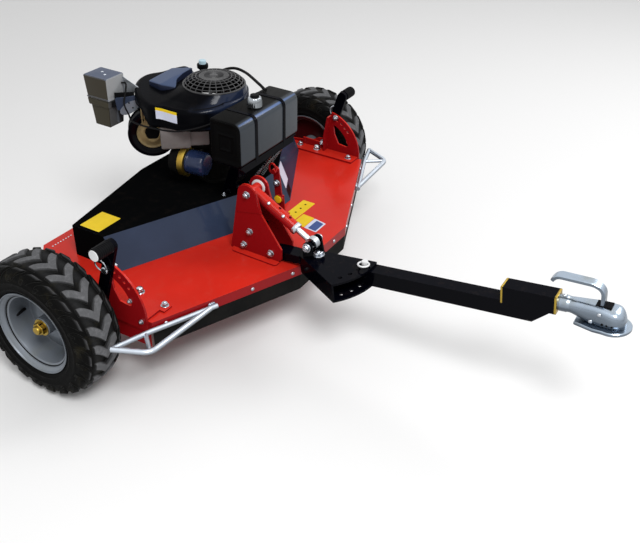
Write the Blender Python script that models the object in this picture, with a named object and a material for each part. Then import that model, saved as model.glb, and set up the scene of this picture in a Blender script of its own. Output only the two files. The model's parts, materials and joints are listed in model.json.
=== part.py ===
"""Tow-behind rotary mower: a three-spindle deck with a petrol engine, two wheels and a swivelling drawbar.

Metres, +Z up, towed towards -Y. The mower's left side is +X. The wheels stand on z = 0. Sizes below are measured
from the axles, and each finished piece is moved back by HOME, so that the origin is under the machine's middle.
Each object is one piece of the machine. Pieces of the drawbar are built along a straight bar and then pitched up.
"""
import math

import bmesh
import bpy
from mathutils import Matrix, Vector

# From the axles back to the middle of the whole machine
HOME = Vector((0, 0.5187, 0))

# Fits
GAP = 0.0003            # between faces that touch
RUN = 0.0006            # radial clearance of pins, bores and shafts

# Wheels
TYRE_RADIUS = 0.203
TYRE_WIDTH = 0.147
TYRE_CLEARANCE = 0.0189 # between the height lever and the tyre's widest point
BEAD_RADIUS = 0.1055
RIM_LIP_RADIUS = 0.122
AXLE_RADIUS = 0.0125
HUB_RADIUS = 0.030
HUB_INNER = -0.055      # ends of the hub, from the tyre's middle plane outwards
HUB_OUTER = 0.030
WHEEL_SIDES = 28        # the tyre and the rim share their facets

# Deck
DECK_TOP = 0.235
SHEET = 0.003
DECK_HALF_WIDTH = 0.577
DECK_FRONT = -0.446
DECK_FRONT_HALF = 0.132
DECK_SIDE_FRONT = -0.262
DECK_SIDE_REAR = 0.140
DECK_REAR = 0.260
DECK_REAR_HALF = 0.457
FRONT_LIP = 0.032
SIDE_WALL = 0.085
SKIRT_THICK = 0.006
SKIRT_BOTTOM = 0.150

# Belt cover
COVER_TOP = 0.335
COVER_SHEET = 0.002
COVER_SIDE_FRONT = 0.020
COVER_SIDE_REAR = 0.140
COVER_REAR_HALF = 0.060
COVER_REAR = 0.210
COVER_NOSE = -0.160
COVER_NOSE_RIGHT = 0.010
COVER_NOSE_LEFT = 0.180
COVER_FLARE = 0.049     # how far the slanted front faces reach out at the deck

# Cutting gear
CENTRE_SPINDLE = (0.0, -0.104)
BLADE_RADIUS = 0.192
SIDE_SPINDLE = (DECK_HALF_WIDTH - BLADE_RADIUS - 0.015, 0.030)
BLADE_WIDTH = 0.050
BLADE_THICK = 0.005
BLADE_BOTTOM = 0.172
SPINDLE_RADIUS = 0.012
PULLEY_RADIUS = 0.047
COVER_RIGHT = SIDE_SPINDLE[0] + PULLEY_RADIUS + 0.023
GROOVE_RADIUS = 0.040
BELT_WIDTH = 0.0115
BELT_THICK = 0.008
BELT_GAP = 0.0005
GROOVE_WIDTH = 0.013
FLANGE_WIDTH = 0.003
BLADE_BELT_Z = 0.274
DRIVE_BELT_Z = 0.296
IDLER_RADIUS = 0.022
IDLER_PIVOT = (0.150, -0.020)
IDLER_SHOULDER = 0.262
LEVER_FACE = 0.075
LEVER_PIVOT = (-0.236, 0.300)

# Engine, in a frame turned about the middle of its case: local x looks out over the side cover
CASE = (0.030, 0.030)
CRANK = (0.048, -0.020)
ENGINE_TURN = math.radians(221)
CRANKCASE_RADIUS = 0.088
CRANKCASE_TOP = 0.545
SHAFT_RADIUS = 0.013
HOUSING_RADIUS = 0.155
HOUSING_TOP = 0.640
GRILLE_RADIUS = 0.092
GRILLE_TOP = 0.668
SHOULDER_END = 0.145    # reach of the cowl over the cylinder, from the crankshaft
SHOULDER_TOP = 0.612
SHOULDER_SLOPE = 0.13
SHOULDER_SIDE = 0.105
HEAD_END = 0.190        # reach of the cylinder head
MUFFLER_RADIUS = 0.074
MUFFLER_PLACE = (-0.030, -0.147, 0.490)
MUFFLER_LENGTH = 0.060
FILTER_SEAT = 0.046
CASE_BASE_RADIUS = 0.054
OIL_CAP_PLACE = (0.132, 0.088)
OIL_NECK_TOP = 0.652

# Fuel tank
TANK_HALF = 0.150
TANK_FRONT = -0.255
TANK_REAR = -0.150
TANK_BOTTOM = 0.500
TANK_TOP = 0.632
TANK_ROUND = 0.020
STRAP_PLACE = 0.072
CAP_PLACE = (-0.015, -0.212)

# Height adjusters
PLATE = 0.006
BRACKET_FACE = DECK_HALF_WIDTH + GAP
BRACKET_REACH = 0.052
COVER_LEFT = BRACKET_FACE - BRACKET_REACH - 0.005
ARM_PIVOT = (-0.098, 0.240)
QUADRANT_RADIUS = 0.152
HOLE_ARC_RADIUS = 0.134
HOLE_COUNT = 5
HOLE_STEP = math.radians(8)
FIRST_HOLE = math.radians(18)
LEVER_LENGTH = 0.222
LEVER_WIDTH = 0.034
LEVER_THICK = 0.010
GRIP_RADIUS = 0.017
GRIP_LENGTH = 0.058
# From the middle plane to the middle of each tyre, outside the bracket and its lever
WHEEL_TRACK = BRACKET_FACE + PLATE + GAP + LEVER_THICK + TYRE_CLEARANCE + TYRE_WIDTH / 2

# Wheel guards
GUARD_TUBE = 0.009
GUARD_HEIGHT = DECK_TOP - 0.018
GUARD_TIP = (WHEEL_TRACK + 0.014, -TYRE_RADIUS - 0.027)
GUARD_CORNER = (WHEEL_TRACK - 0.031, DECK_SIDE_FRONT - 0.060)
GUARD_RUN = 0.177       # of the rail along the front lip, from the deck's corner

# Drawbar, in its own frame: u to the mower's left, s forward from the hinge, h square to both
HITCH = Vector((-0.125, -0.362, 0.239))
BAR_PITCH = math.radians(7.7)
HINGE_RISE = 0.013      # of the pitch pin above the bar's middle line
BAR = 0.045
BAR_WALL = 0.003
TOWER_GAP = 0.054       # between the two tower plates
SECTOR_PLATE = 0.006
SWIVEL = 0.142
SECTOR_RADIUS = 0.178
PIN_ARC_RADIUS = 0.152
SECTOR_FAR = math.radians(8)
SECTOR_NEAR = math.radians(47.5)
SWING_HOLES = 4
SWING_STEP = math.radians(12)
FRONT_BOX_REAR = 0.695
FRONT_BOX_FRONT = 0.834
FRONT_BOX_TOP = 0.062
FRONT_BOX = 0.048
LOWER_TUBE_END = 0.775
EYE_PLACE = (0.127, 0.064)
EYE_BORE = 0.0107
LINK_PIN = 0.008
LINK_ROD = 0.009
HINGE_PIN = 0.009
SWIVEL_PIN = 0.008
EAR_INNER = 0.024
BALL_PLACE = 0.965
TOWER_APEX = (-0.278, 0.430)
LINK_TUBE_END = 0.165
LINK_ROD_START = 0.070
COUPLER_AXIS = FRONT_BOX_TOP - FRONT_BOX / 2
COUPLER_TUBE = 0.0205
HANDLE_PIVOT = (0.938, 0.043)

COLOURS = {
    "red_paint": ((0.62, 0.025, 0.02), 0.32, 0.0),
    "black_paint": ((0.012, 0.013, 0.016), 0.35, 0.0),
    "zinc": ((0.62, 0.64, 0.66), 0.32, 1.0),
    "dark_steel": ((0.20, 0.21, 0.23), 0.45, 1.0),
    "cast_alloy": ((0.42, 0.40, 0.36), 0.55, 0.8),
    "tan_alloy": ((0.45, 0.32, 0.16), 0.5, 0.7),
    "rubber": ((0.02, 0.02, 0.021), 0.8, 0.0),
    "rim_silver": ((0.50, 0.52, 0.54), 0.4, 0.8),
    "tank_plastic": ((0.02, 0.02, 0.022), 0.4, 0.0),
    "filter_blue": ((0.02, 0.06, 0.20), 0.3, 0.0),
    "box_grey": ((0.55, 0.57, 0.60), 0.35, 0.6),
}


def clear_scene():
    for thing in list(bpy.data.objects):
        bpy.data.objects.remove(thing, do_unlink=True)


def material(name):
    """The Principled material of that colour, made once."""
    found = bpy.data.materials.get(name)
    if found:
        return found
    colour, roughness, metallic = COLOURS[name]
    made = bpy.data.materials.new(name)
    made.use_nodes = True
    shader = made.node_tree.nodes["Principled BSDF"]
    shader.inputs["Base Color"].default_value = (*colour, 1.0)
    shader.inputs["Roughness"].default_value = roughness
    shader.inputs["Metallic"].default_value = metallic
    made.diffuse_color = (*colour, 1.0)
    return made


def solid(bm):
    """An unnamed object holding the mesh, faces turned outwards."""
    bmesh.ops.recalc_face_normals(bm, faces=bm.faces)
    mesh = bpy.data.meshes.new("solid")
    bm.to_mesh(mesh)
    bm.free()
    thing = bpy.data.objects.new("solid", mesh)
    bpy.context.scene.collection.objects.link(thing)
    return thing


def sweep_between(first, second):
    """A closed solid between two rings of points of equal count."""
    bm = bmesh.new()
    lower = [bm.verts.new(point) for point in first]
    upper = [bm.verts.new(point) for point in second]
    bm.faces.new(lower[::-1])
    bm.faces.new(upper)
    for i in range(len(lower)):
        j = (i + 1) % len(lower)
        bm.faces.new((lower[i], lower[j], upper[j], upper[i]))
    return solid(bm)


def prism(outline, bottom, top):
    """Outline in x, y, raised from bottom to top."""
    return sweep_between([(x, y, bottom) for x, y in outline], [(x, y, top) for x, y in outline])


def slab(outline, left, right):
    """Outline in y, z, as a plate from x = left to x = right."""
    return sweep_between([(left, y, z) for y, z in outline], [(right, y, z) for y, z in outline])


def box(low, high):
    outline = [(low[0], low[1]), (high[0], low[1]), (high[0], high[1]), (low[0], high[1])]
    return prism(outline, low[2], high[2])


def arc(centre, radius, start, end, steps):
    """Points on a circle, from one angle to another, in radians."""
    angles = [start + (end - start) * i / steps for i in range(steps + 1)]
    return [(centre[0] + radius * math.cos(a), centre[1] + radius * math.sin(a)) for a in angles]


def circle(centre, radius, sides):
    return arc(centre, radius, 0.0, 2 * math.pi * (sides - 1) / sides, sides - 1)


def turned(profile, sides, axis="Z", place=(0, 0, 0)):
    """A closed outline of (radius, height) points turned about an axis; radius 0 closes it on the axis."""
    bm = bmesh.new()
    rings = []
    for radius, height in profile:
        if radius == 0:
            rings.append([bm.verts.new((0, 0, height))] * sides)
        else:
            rings.append([bm.verts.new((x, y, height)) for x, y in circle((0, 0), radius, sides)])
    for ring, following in zip(rings, rings[1:] + rings[:1]):
        for i in range(sides):
            j = (i + 1) % sides
            corners = []
            for vertex in (ring[i], ring[j], following[j], following[i]):
                if vertex not in corners:
                    corners.append(vertex)
            if len(corners) > 2:
                bm.faces.new(corners)
    turn = {"Z": Matrix.Identity(4), "X": Matrix.Rotation(math.pi / 2, 4, "Y"),
            "Y": Matrix.Rotation(-math.pi / 2, 4, "X")}[axis]
    bmesh.ops.transform(bm, matrix=Matrix.Translation(place) @ turn, verts=bm.verts)
    return solid(bm)


def rod(start, end, radius, sides=16):
    """A round bar between two points."""
    return pipe([start, end], radius, sides)


def pipe(points, radius, sides=10):
    """A round bar along straight runs, mitred at each corner."""
    points = [Vector(point) for point in points]
    rings = []
    heading = (points[1] - points[0]).normalized()
    across = heading.orthogonal().normalized()
    for i, point in enumerate(points):
        before = (point - points[i - 1]).normalized() if i else heading
        after = (points[i + 1] - point).normalized() if i + 1 < len(points) else before
        normal = (before + after).normalized()
        across = (across - across.dot(before) * before).normalized()
        other = before.cross(across)
        ring = []
        for k in range(sides):
            angle = 2 * math.pi * k / sides
            offset = radius * (math.cos(angle) * across + math.sin(angle) * other)
            offset -= before * (offset.dot(normal) / before.dot(normal))
            ring.append(point + offset)
        rings.append(ring)
    bm = bmesh.new()
    made = [[bm.verts.new(point) for point in ring] for ring in rings]
    bm.faces.new(made[0][::-1])
    bm.faces.new(made[-1])
    for ring, following in zip(made, made[1:]):
        for i in range(sides):
            j = (i + 1) % sides
            bm.faces.new((ring[i], ring[j], following[j], following[i]))
    return solid(bm)


def boolean(target, tools, operation):
    """Joins the tools to the target, or cuts them from it, and removes them."""
    for tool in tools:
        modifier = target.modifiers.new(operation.lower(), "BOOLEAN")
        modifier.operation = operation
        modifier.solver = "EXACT"
        modifier.object = tool
    graph = bpy.context.evaluated_depsgraph_get()
    mesh = bpy.data.meshes.new_from_object(target.evaluated_get(graph))
    target.modifiers.clear()
    target.data = mesh
    for tool in tools:
        bpy.data.objects.remove(tool, do_unlink=True)
    return target


def weld(target, *tools):
    return boolean(target, tools, "UNION")


def carve(target, *tools):
    return boolean(target, tools, "DIFFERENCE")


def moved(thing, matrix):
    thing.data.transform(matrix)
    return thing


def piece(name, thing, colour, pivot=(0, 0, 0)):
    """Names the finished piece, puts its origin on its pivot and gives it its material."""
    thing.data.transform(Matrix.Translation(-Vector(pivot)))
    thing.location = Vector(pivot) + HOME
    thing.name = name
    thing.data.name = name
    thing.data.materials.clear()
    thing.data.materials.append(material(colour))
    thing.data.shade_smooth()
    thing.data.set_sharp_from_angle(angle=math.radians(35))
    return thing


def mirror_points(points):
    """A half outline on +X, front to back, joined to its mirror image."""
    return list(points) + [(-x, y) for x, y in reversed(points)]


def inset(outline, distance):
    """A convex outline, counterclockwise, with every side moved in by the distance."""
    lines = []
    for (x0, y0), (x1, y1) in zip(outline, outline[1:] + outline[:1]):
        length = math.hypot(x1 - x0, y1 - y0)
        inward = (-(y1 - y0) / length, (x1 - x0) / length)
        lines.append(((x0 + inward[0] * distance, y0 + inward[1] * distance), (x1 - x0, y1 - y0)))
    corners = []
    for (p, d), (q, e) in zip(lines[-1:] + lines[:-1], lines):
        cross = d[0] * e[1] - d[1] * e[0]
        step = ((q[0] - p[0]) * e[1] - (q[1] - p[1]) * e[0]) / cross
        corners.append((p[0] + d[0] * step, p[1] + d[1] * step))
    return corners


# Wheels and their arms

def tyre(name, side):
    """A C-shaped ring: tread, two side walls, open towards the rim."""
    half = TYRE_WIDTH / 2
    seat = BEAD_RADIUS + GAP
    outer = [(seat, half - 0.024), (0.1235, half - 0.011), (0.140, half - 0.002), (0.165, half),
             (0.195, half - 0.012), (TYRE_RADIUS, half - 0.040)]
    inner = [(TYRE_RADIUS - 0.013, half - 0.045), (0.165, half - 0.010), (seat, half - 0.034)]
    profile = outer + [(r, -z) for r, z in reversed(outer)]
    profile += [(r, -z) for r, z in reversed(inner)] + inner
    place = (side * WHEEL_TRACK, 0, TYRE_RADIUS)
    return piece(name, turned(profile, WHEEL_SIDES, "X", place), "rubber", place)


def rim(name, side):
    """Pressed rim: barrel with two lips, a disc and a hub bored for the axle."""
    half = TYRE_WIDTH / 2
    lip = half - 0.007
    seat = half - 0.014
    bore = AXLE_RADIUS + RUN
    barrel = BEAD_RADIUS - 0.004
    profile = [(RIM_LIP_RADIUS, lip), (RIM_LIP_RADIUS, lip - 0.0025), (BEAD_RADIUS + 0.003, seat - 0.001),
               (BEAD_RADIUS, seat - 0.009), (BEAD_RADIUS, -seat + 0.009), (BEAD_RADIUS + 0.003, -seat + 0.001),
               (RIM_LIP_RADIUS, -lip + 0.0025), (RIM_LIP_RADIUS, -lip), (barrel, -seat), (barrel - 0.002, -0.032),
               (0.088, -0.021), (0.050, -0.012), (HUB_RADIUS, -0.012), (HUB_RADIUS, HUB_INNER), (bore, HUB_INNER),
               (bore, HUB_OUTER), (HUB_RADIUS - 0.004, HUB_OUTER), (HUB_RADIUS - 0.004, -0.006),
               (0.050, -0.006), (0.090, -0.015), (barrel - 0.002, -0.022), (barrel, seat)]
    place = (side * WHEEL_TRACK, 0, TYRE_RADIUS)
    solid_rim = turned([(r, z * side) for r, z in profile], WHEEL_SIDES, "X", place)
    return piece(name, solid_rim, "rim_silver", place)


def wheel_arm(name, side):
    """Lever, crank arm and stub axle in one welding, hinged on the adjuster bracket."""
    inner = side * (BRACKET_FACE + PLATE + GAP)
    outer = inner + side * LEVER_THICK
    y, z = ARM_PIVOT
    top = (y - LEVER_LENGTH * math.sin(FIRST_HOLE), z + LEVER_LENGTH * math.cos(FIRST_HOLE))
    lever = link_outline((y, z), top, LEVER_WIDTH / 2, LEVER_WIDTH / 2)
    crank = link_outline((y, z), (0, TYRE_RADIUS), LEVER_WIDTH / 2, LEVER_WIDTH / 2)
    shoulder = side * (WHEEL_TRACK + HUB_INNER - GAP)
    arm = weld(
        slab(lever, inner, outer),
        slab(crank, inner, outer),
        rod((inner + side * 0.002, y, z), (side * (BRACKET_FACE + 0.0005), y, z), 0.010, 20),
        rod((inner + side * 0.002, 0, TYRE_RADIUS), (shoulder, 0, TYRE_RADIUS), 0.019, 24),
        rod((shoulder - side * 0.004, 0, TYRE_RADIUS), (side * (WHEEL_TRACK + 0.040), 0, TYRE_RADIUS), AXLE_RADIUS, 32),
        rod((side * (WHEEL_TRACK + HUB_OUTER + GAP), 0, TYRE_RADIUS),
            (side * (WHEEL_TRACK + HUB_OUTER + 0.013), 0, TYRE_RADIUS), 0.018, 6),
        rod((inner + side * 0.004, *top), (outer + side * GRIP_LENGTH, *top), GRIP_RADIUS, 16),
    )
    first = hole_place(0)
    arm = carve(arm, rod((inner - side * 0.01, *first), (outer + side * 0.01, *first), 0.0065, 16))
    return piece(name, arm, "black_paint", (side * BRACKET_FACE, y, z))


def link_outline(first, second, first_radius, second_radius, steps=6):
    """A flat bar with two round ends."""
    heading = math.atan2(second[1] - first[1], second[0] - first[0])
    quarter = math.pi / 2
    return (arc(second, second_radius, heading - quarter, heading + quarter, steps)
            + arc(first, first_radius, heading + quarter, heading + 3 * quarter, steps))


def hole_place(index):
    """Hole of the height quadrant, counted forwards."""
    angle = FIRST_HOLE + index * HOLE_STEP
    return (ARM_PIVOT[0] - HOLE_ARC_RADIUS * math.sin(angle), ARM_PIVOT[1] + HOLE_ARC_RADIUS * math.cos(angle))


def height_pin(name, side):
    """Ring-headed pin through the lever; its tip stops at the lever's inner face."""
    y, z = hole_place(0)
    inner = side * (BRACKET_FACE + PLATE + GAP)
    outer = inner + side * LEVER_THICK
    head = outer + side * GAP
    pin = weld(
        rod((inner + side * 0.001, y, z), (head + side * 0.002, y, z), 0.0058, 16),
        rod((head, y, z), (head + side * 0.008, y, z), 0.010, 16),
        ring((head + side * 0.0085, y - 0.012, z), 0.013, 0.0022, Vector((side, 0, 0))),
    )
    return piece(name, pin, "zinc", (outer, y, z))


def ring(centre, radius, thickness, normal, steps=16, sides=5):
    """A round wire ring."""
    bm = bmesh.new()
    normal = normal.normalized()
    across = normal.orthogonal().normalized()
    other = normal.cross(across)
    rings = []
    for i in range(steps):
        angle = 2 * math.pi * i / steps
        out = math.cos(angle) * across + math.sin(angle) * other
        middle = Vector(centre) + radius * out
        turns = [2 * math.pi * k / sides for k in range(sides)]
        rings.append([bm.verts.new(middle + thickness * (math.cos(t) * out + math.sin(t) * normal)) for t in turns])
    for first, second in zip(rings, rings[1:] + rings[:1]):
        for k in range(sides):
            m = (k + 1) % sides
            bm.faces.new((first[k], first[m], second[m], second[k]))
    return solid(bm)


def adjuster_bracket(name, side):
    """Red quadrant plate outside the deck wall, with a foot on the deck and a folded rear edge."""
    inner = side * BRACKET_FACE
    outer = inner + side * PLATE
    y, z = ARM_PIVOT
    foot = DECK_TOP + GAP
    front_angle = math.radians(172)
    top_angle = math.radians(103)
    outline = [(-0.252, 0.205), (0.055, 0.205), (0.055, foot + 0.010), (-0.045, foot + 0.022),
               (-0.078, foot + 0.040), (-0.112, foot + 0.045)]
    outline += arc((y, z), QUADRANT_RADIUS, top_angle, front_angle, 12)
    plate = slab(outline, inner, outer)
    reach = side * BRACKET_REACH
    flange = slab([(-0.247, foot), (0.055, foot), (0.055, foot + PLATE), (-0.247, foot + PLATE)],
                  inner - reach, inner + side * 0.003)
    web = slab([(-0.112, foot), (-0.112, 0.300), (-0.126, 0.376), (-0.132, 0.376), (-0.118, 0.300), (-0.118, foot)],
               inner - side * 0.024, inner + side * 0.003)
    bracket = weld(plate, flange, web)
    cutters = [rod((inner - side * 0.01, *hole_place(i)), (outer + side * 0.01, *hole_place(i)), 0.0045, 12)
               for i in range(HOLE_COUNT)]
    window = arc((y, z), HOLE_ARC_RADIUS - 0.022, math.radians(112), math.radians(163), 8)
    window += [(-0.196, 0.268), (-0.163, 0.272), (-0.146, 0.305)]
    cutters.append(slab(window, inner - side * 0.01, outer + side * 0.01))
    cutters.append(rod((inner - side * 0.001, y, z), (outer + side * 0.01, y, z), 0.010 + RUN, 20))
    return piece(name, carve(bracket, *cutters), "red_paint")


def wheel_guard(name, side):
    """Flat galvanised truss in front of the tyre: a rail along the front lip and a bent outer tube."""
    slope = (DECK_SIDE_FRONT - DECK_FRONT) / (DECK_HALF_WIDTH - DECK_FRONT_HALF)
    length = math.hypot(1, slope)
    out = Vector((slope / length, -1 / length)) * (GUARD_TUBE + GAP)

    def on_lip(x):
        y = DECK_SIDE_FRONT - (DECK_HALF_WIDTH - x) * slope
        return Vector((side * (x + out.x), y + out.y, GUARD_HEIGHT))

    elbow = on_lip(DECK_HALF_WIDTH + 0.023)
    tip = Vector((side * GUARD_TIP[0], GUARD_TIP[1], GUARD_HEIGHT))
    corner = Vector((side * GUARD_CORNER[0], GUARD_CORNER[1], GUARD_HEIGHT - 0.002))
    frame = pipe([on_lip(DECK_HALF_WIDTH - GUARD_RUN), elbow, tip], GUARD_TUBE, 10)
    brace_end = on_lip(DECK_HALF_WIDTH - GUARD_RUN + 0.025)
    runs = ((tip, corner, GUARD_TUBE - 0.0003), (corner, brace_end, GUARD_TUBE - 0.0005), (elbow, corner, 0.007))
    for start, end, thickness in runs:
        back = (start - end).normalized() * 0.003
        frame = weld(frame, rod(start + back, end - back, thickness, 9))
    return piece(name, frame, "zinc")


# Deck

def deck_outline():
    half = [(DECK_FRONT_HALF, DECK_FRONT), (DECK_HALF_WIDTH, DECK_SIDE_FRONT),
            (DECK_HALF_WIDTH, DECK_SIDE_REAR), (DECK_REAR_HALF, DECK_REAR)]
    return mirror_points(half)


def deck_shell():
    """Folded sheet deck: shallow front lips, deep side walls, open below."""
    outline = deck_outline()
    bottom = DECK_TOP - SIDE_WALL
    shell = prism(outline, bottom, DECK_TOP)
    chamber = prism(inset(outline, SHEET), bottom - 0.01, DECK_TOP - SHEET)
    front = box((-0.7, -0.6, bottom - 0.02), (0.7, DECK_SIDE_FRONT + 0.010, DECK_TOP - FRONT_LIP))
    rear = box((-0.7, DECK_SIDE_REAR, bottom - 0.02), (0.7, 0.4, DECK_TOP - 0.045))
    holes = [rod((x, y, 0.2), (x, y, 0.3), 0.034, 16) for x, y in spindle_places()]
    shell = carve(shell, chamber, front, rear, *holes)
    return piece("deck_shell", weld(shell, idler_stud(), *lever_stand()), "red_paint")


def idler_stud():
    """Shouldered post that the idler arm turns on."""
    shoulder = IDLER_SHOULDER - GAP
    profile = [(0, DECK_TOP - 0.002), (0.016, DECK_TOP - 0.002), (0.016, DECK_TOP + 0.004), (0.012, DECK_TOP + 0.006),
               (0.012, shoulder), (0.006, shoulder), (0.006, DRIVE_BELT_Z + 0.018), (0, DRIVE_BELT_Z + 0.018)]
    return turned(profile, 24, "Z", (*IDLER_PIVOT, 0))


def lever_stand():
    """Upright ear with the clutch lever's pivot pin."""
    x = LEVER_FACE
    y, z = LEVER_PIVOT
    low = DECK_TOP - 0.001
    ear = slab([(y - 0.020, low), (y + 0.020, low), (y + 0.014, z + 0.012), (y - 0.014, z + 0.012)], x, x + 0.005)
    foot = box((x, y - 0.020, low), (x + 0.030, y + 0.020, DECK_TOP + 0.004))
    pin = rod((x + 0.002, y, z), (x - 0.010, y, z), 0.005, 20)
    return ear, foot, pin


def spindle_places():
    x, y = SIDE_SPINDLE
    return [(-x, y), CENTRE_SPINDLE, (x, y)]


def front_skirt():
    """Rubber strip behind the front lips."""
    outer = inset(deck_outline(), SHEET + GAP)
    inner = inset(deck_outline(), SHEET + GAP + SKIRT_THICK)
    top = DECK_TOP - SHEET - GAP - 0.002
    right_half = [outer[0], outer[1]], [inner[0], inner[1]]
    run = [(-x, y) for x, y in reversed(right_half[0])] + right_half[0]
    back = list(reversed(right_half[1])) + [(-x, y) for x, y in right_half[1]]
    return piece("front_rubber_skirt", prism(run + back, SKIRT_BOTTOM, top), "rubber")


def rear_skirt():
    face = DECK_REAR - SHEET - GAP
    low = (-DECK_REAR_HALF + 0.012, face - SKIRT_THICK, SKIRT_BOTTOM - 0.030)
    high = (DECK_REAR_HALF - 0.012, face, DECK_TOP - SHEET - GAP - 0.002)
    return piece("rear_rubber_skirt", box(low, high), "rubber")


def belt_cover():
    """Low hood, longer on the left: level top, slanted front faces, upright sides and back, open below."""
    rear = [(COVER_LEFT, COVER_SIDE_REAR), (COVER_REAR_HALF + COVER_LEFT - COVER_RIGHT, COVER_REAR),
            (-COVER_REAR_HALF, COVER_REAR), (-COVER_RIGHT, COVER_SIDE_REAR)]
    front = [(-COVER_RIGHT, COVER_SIDE_FRONT), (-COVER_NOSE_RIGHT, COVER_NOSE), (COVER_NOSE_LEFT, COVER_NOSE),
             (COVER_LEFT, COVER_SIDE_FRONT)]
    top = rear + front
    foot = rear + [(x, y - COVER_FLARE) for x, y in front]
    bottom = DECK_TOP + GAP
    thin_top = inset(top, COVER_SHEET)
    thin_foot = inset(foot, COVER_SHEET)
    shell = sweep_between([(x, y, bottom) for x, y in foot], [(x, y, COVER_TOP) for x, y in top])
    below = bottom - 0.002
    hollow = sweep_between([(x, y, below) for x, y in thin_foot],
                           [(x, y, COVER_TOP - COVER_SHEET) for x, y in thin_top])
    shaft_hole = rod((*CRANK, COVER_TOP - 0.02), (*CRANK, COVER_TOP + 0.02), 0.058, 24)
    return piece("belt_cover", carve(shell, hollow, shaft_hole), "black_paint")


# Cutting gear

def spindle_housing(name, place):
    """Bearing housing on the deck, reaching through its hole."""
    foot = DECK_TOP + GAP
    bore = SPINDLE_RADIUS + RUN
    profile = [(bore, 0.202), (0.030, 0.202), (0.032, foot), (0.055, foot), (0.055, foot + 0.006),
               (0.032, foot + 0.009), (0.028, 0.260), (bore, 0.260)]
    return piece(name, turned(profile, 20, "Z", (*place, 0)), "cast_alloy")


def groove_profile(middle):
    """One belt groove, going up."""
    half = GROOVE_WIDTH / 2
    return [(PULLEY_RADIUS, middle - half - FLANGE_WIDTH), (PULLEY_RADIUS, middle - half),
            (GROOVE_RADIUS, middle - half), (GROOVE_RADIUS, middle + half),
            (PULLEY_RADIUS, middle + half), (PULLEY_RADIUS, middle + half + FLANGE_WIDTH)]


def spindle(name, place, double):
    """Shaft with its pulley above the deck and the blade's clamping collar below."""
    low = BLADE_BOTTOM
    top = low + BLADE_THICK
    shaft = SPINDLE_RADIUS
    profile = [(0, low - 0.011), (0.012, low - 0.011), (0.012, low - GAP), (shaft, low - GAP), (shaft, top + GAP),
               (0.024, top + GAP), (0.024, top + 0.012), (shaft, top + 0.014)]
    lower_edge = BLADE_BELT_Z - GROOVE_WIDTH / 2 - FLANGE_WIDTH
    profile += [(shaft, lower_edge)] + groove_profile(BLADE_BELT_Z)
    if double:
        profile += groove_profile(DRIVE_BELT_Z)
        end = DRIVE_BELT_Z + GROOVE_WIDTH / 2 + FLANGE_WIDTH
    else:
        end = BLADE_BELT_Z + GROOVE_WIDTH / 2 + FLANGE_WIDTH
    profile += [(0.018, end), (0.018, end + 0.008), (0, end + 0.008)]
    return piece(name, turned(profile, 20, "Z", (*place, 0)), "dark_steel", (*place, 0.2))


def blade(name, place, turn):
    """Flat cutting blade with sloped tips and two lifted trailing wings."""
    bottom = BLADE_BOTTOM
    top = bottom + BLADE_THICK
    half = BLADE_WIDTH / 2
    reach = math.sqrt(BLADE_RADIUS ** 2 - half ** 2)
    outline = [(-reach, -half), (reach - 0.020, -half), (reach, half), (-reach + 0.020, half)]
    body = prism(outline, bottom, top)
    wings = []
    for end in (1, -1):
        low = [(end * (reach - 0.075), -end * half), (end * (reach - 0.022), -end * half),
               (end * (reach - 0.018), -end * half * 0.3), (end * (reach - 0.080), -end * half * 0.3)]
        lift = (0.020, 0.020, 0.0, 0.0)
        lower = [(x, y, bottom + 0.001 + rise) for (x, y), rise in zip(low, lift)]
        upper = [(x, y, top - 0.001 + rise) for (x, y), rise in zip(low, lift)]
        wings.append(sweep_between(lower, upper))
    body = weld(body, *wings)
    body = carve(body, rod((0, 0, bottom - 0.01), (0, 0, top + 0.01), SPINDLE_RADIUS + GAP, 32))
    moved(body, Matrix.Translation((*place, 0)) @ Matrix.Rotation(turn, 4, "Z"))
    return piece(name, body, "dark_steel", (*place, 0.2))


def belt_outline(pulleys, radius):
    """The outline of a belt round pulleys listed counterclockwise, all of one radius."""
    outline = []
    count = len(pulleys)
    for i, (x, y) in enumerate(pulleys):
        before = pulleys[i - 1]
        after = pulleys[(i + 1) % count]
        start = math.atan2(y - before[1], x - before[0]) - math.pi / 2
        end = math.atan2(after[1] - y, after[0] - x) - math.pi / 2
        while end < start:
            end += 2 * math.pi
        outline += arc((x, y), radius, start, end, max(3, round((end - start) / 0.22)))
    return outline


def belt(name, pulleys, middle):
    """A flat closed loop lying in the pulleys' grooves."""
    inside = GROOVE_RADIUS + BELT_GAP
    low = middle - BELT_WIDTH / 2
    high = middle + BELT_WIDTH / 2
    loops = [(belt_outline(pulleys, inside + BELT_THICK), low), (belt_outline(pulleys, inside + BELT_THICK), high),
             (belt_outline(pulleys, inside), high), (belt_outline(pulleys, inside), low)]
    bm = bmesh.new()
    rings = [[bm.verts.new((x, y, z)) for x, y in loop] for loop, z in loops]
    for ring_a, ring_b in zip(rings, rings[1:] + rings[:1]):
        for i in range(len(ring_a)):
            j = (i + 1) % len(ring_a)
            bm.faces.new((ring_a[i], ring_a[j], ring_b[j], ring_b[i]))
    return piece(name, solid(bm), "rubber")


def idler_place():
    """Centre of the idler pulley, resting on the outside of the drive belt."""
    crank, spindle_at = Vector(CRANK), Vector(CENTRE_SPINDLE)
    along = (crank - spindle_at).normalized()
    outward = Vector((along.y, -along.x))
    reach = GROOVE_RADIUS + BELT_GAP + BELT_THICK + GAP + IDLER_RADIUS
    return (crank + spindle_at) / 2 + outward * reach


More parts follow.
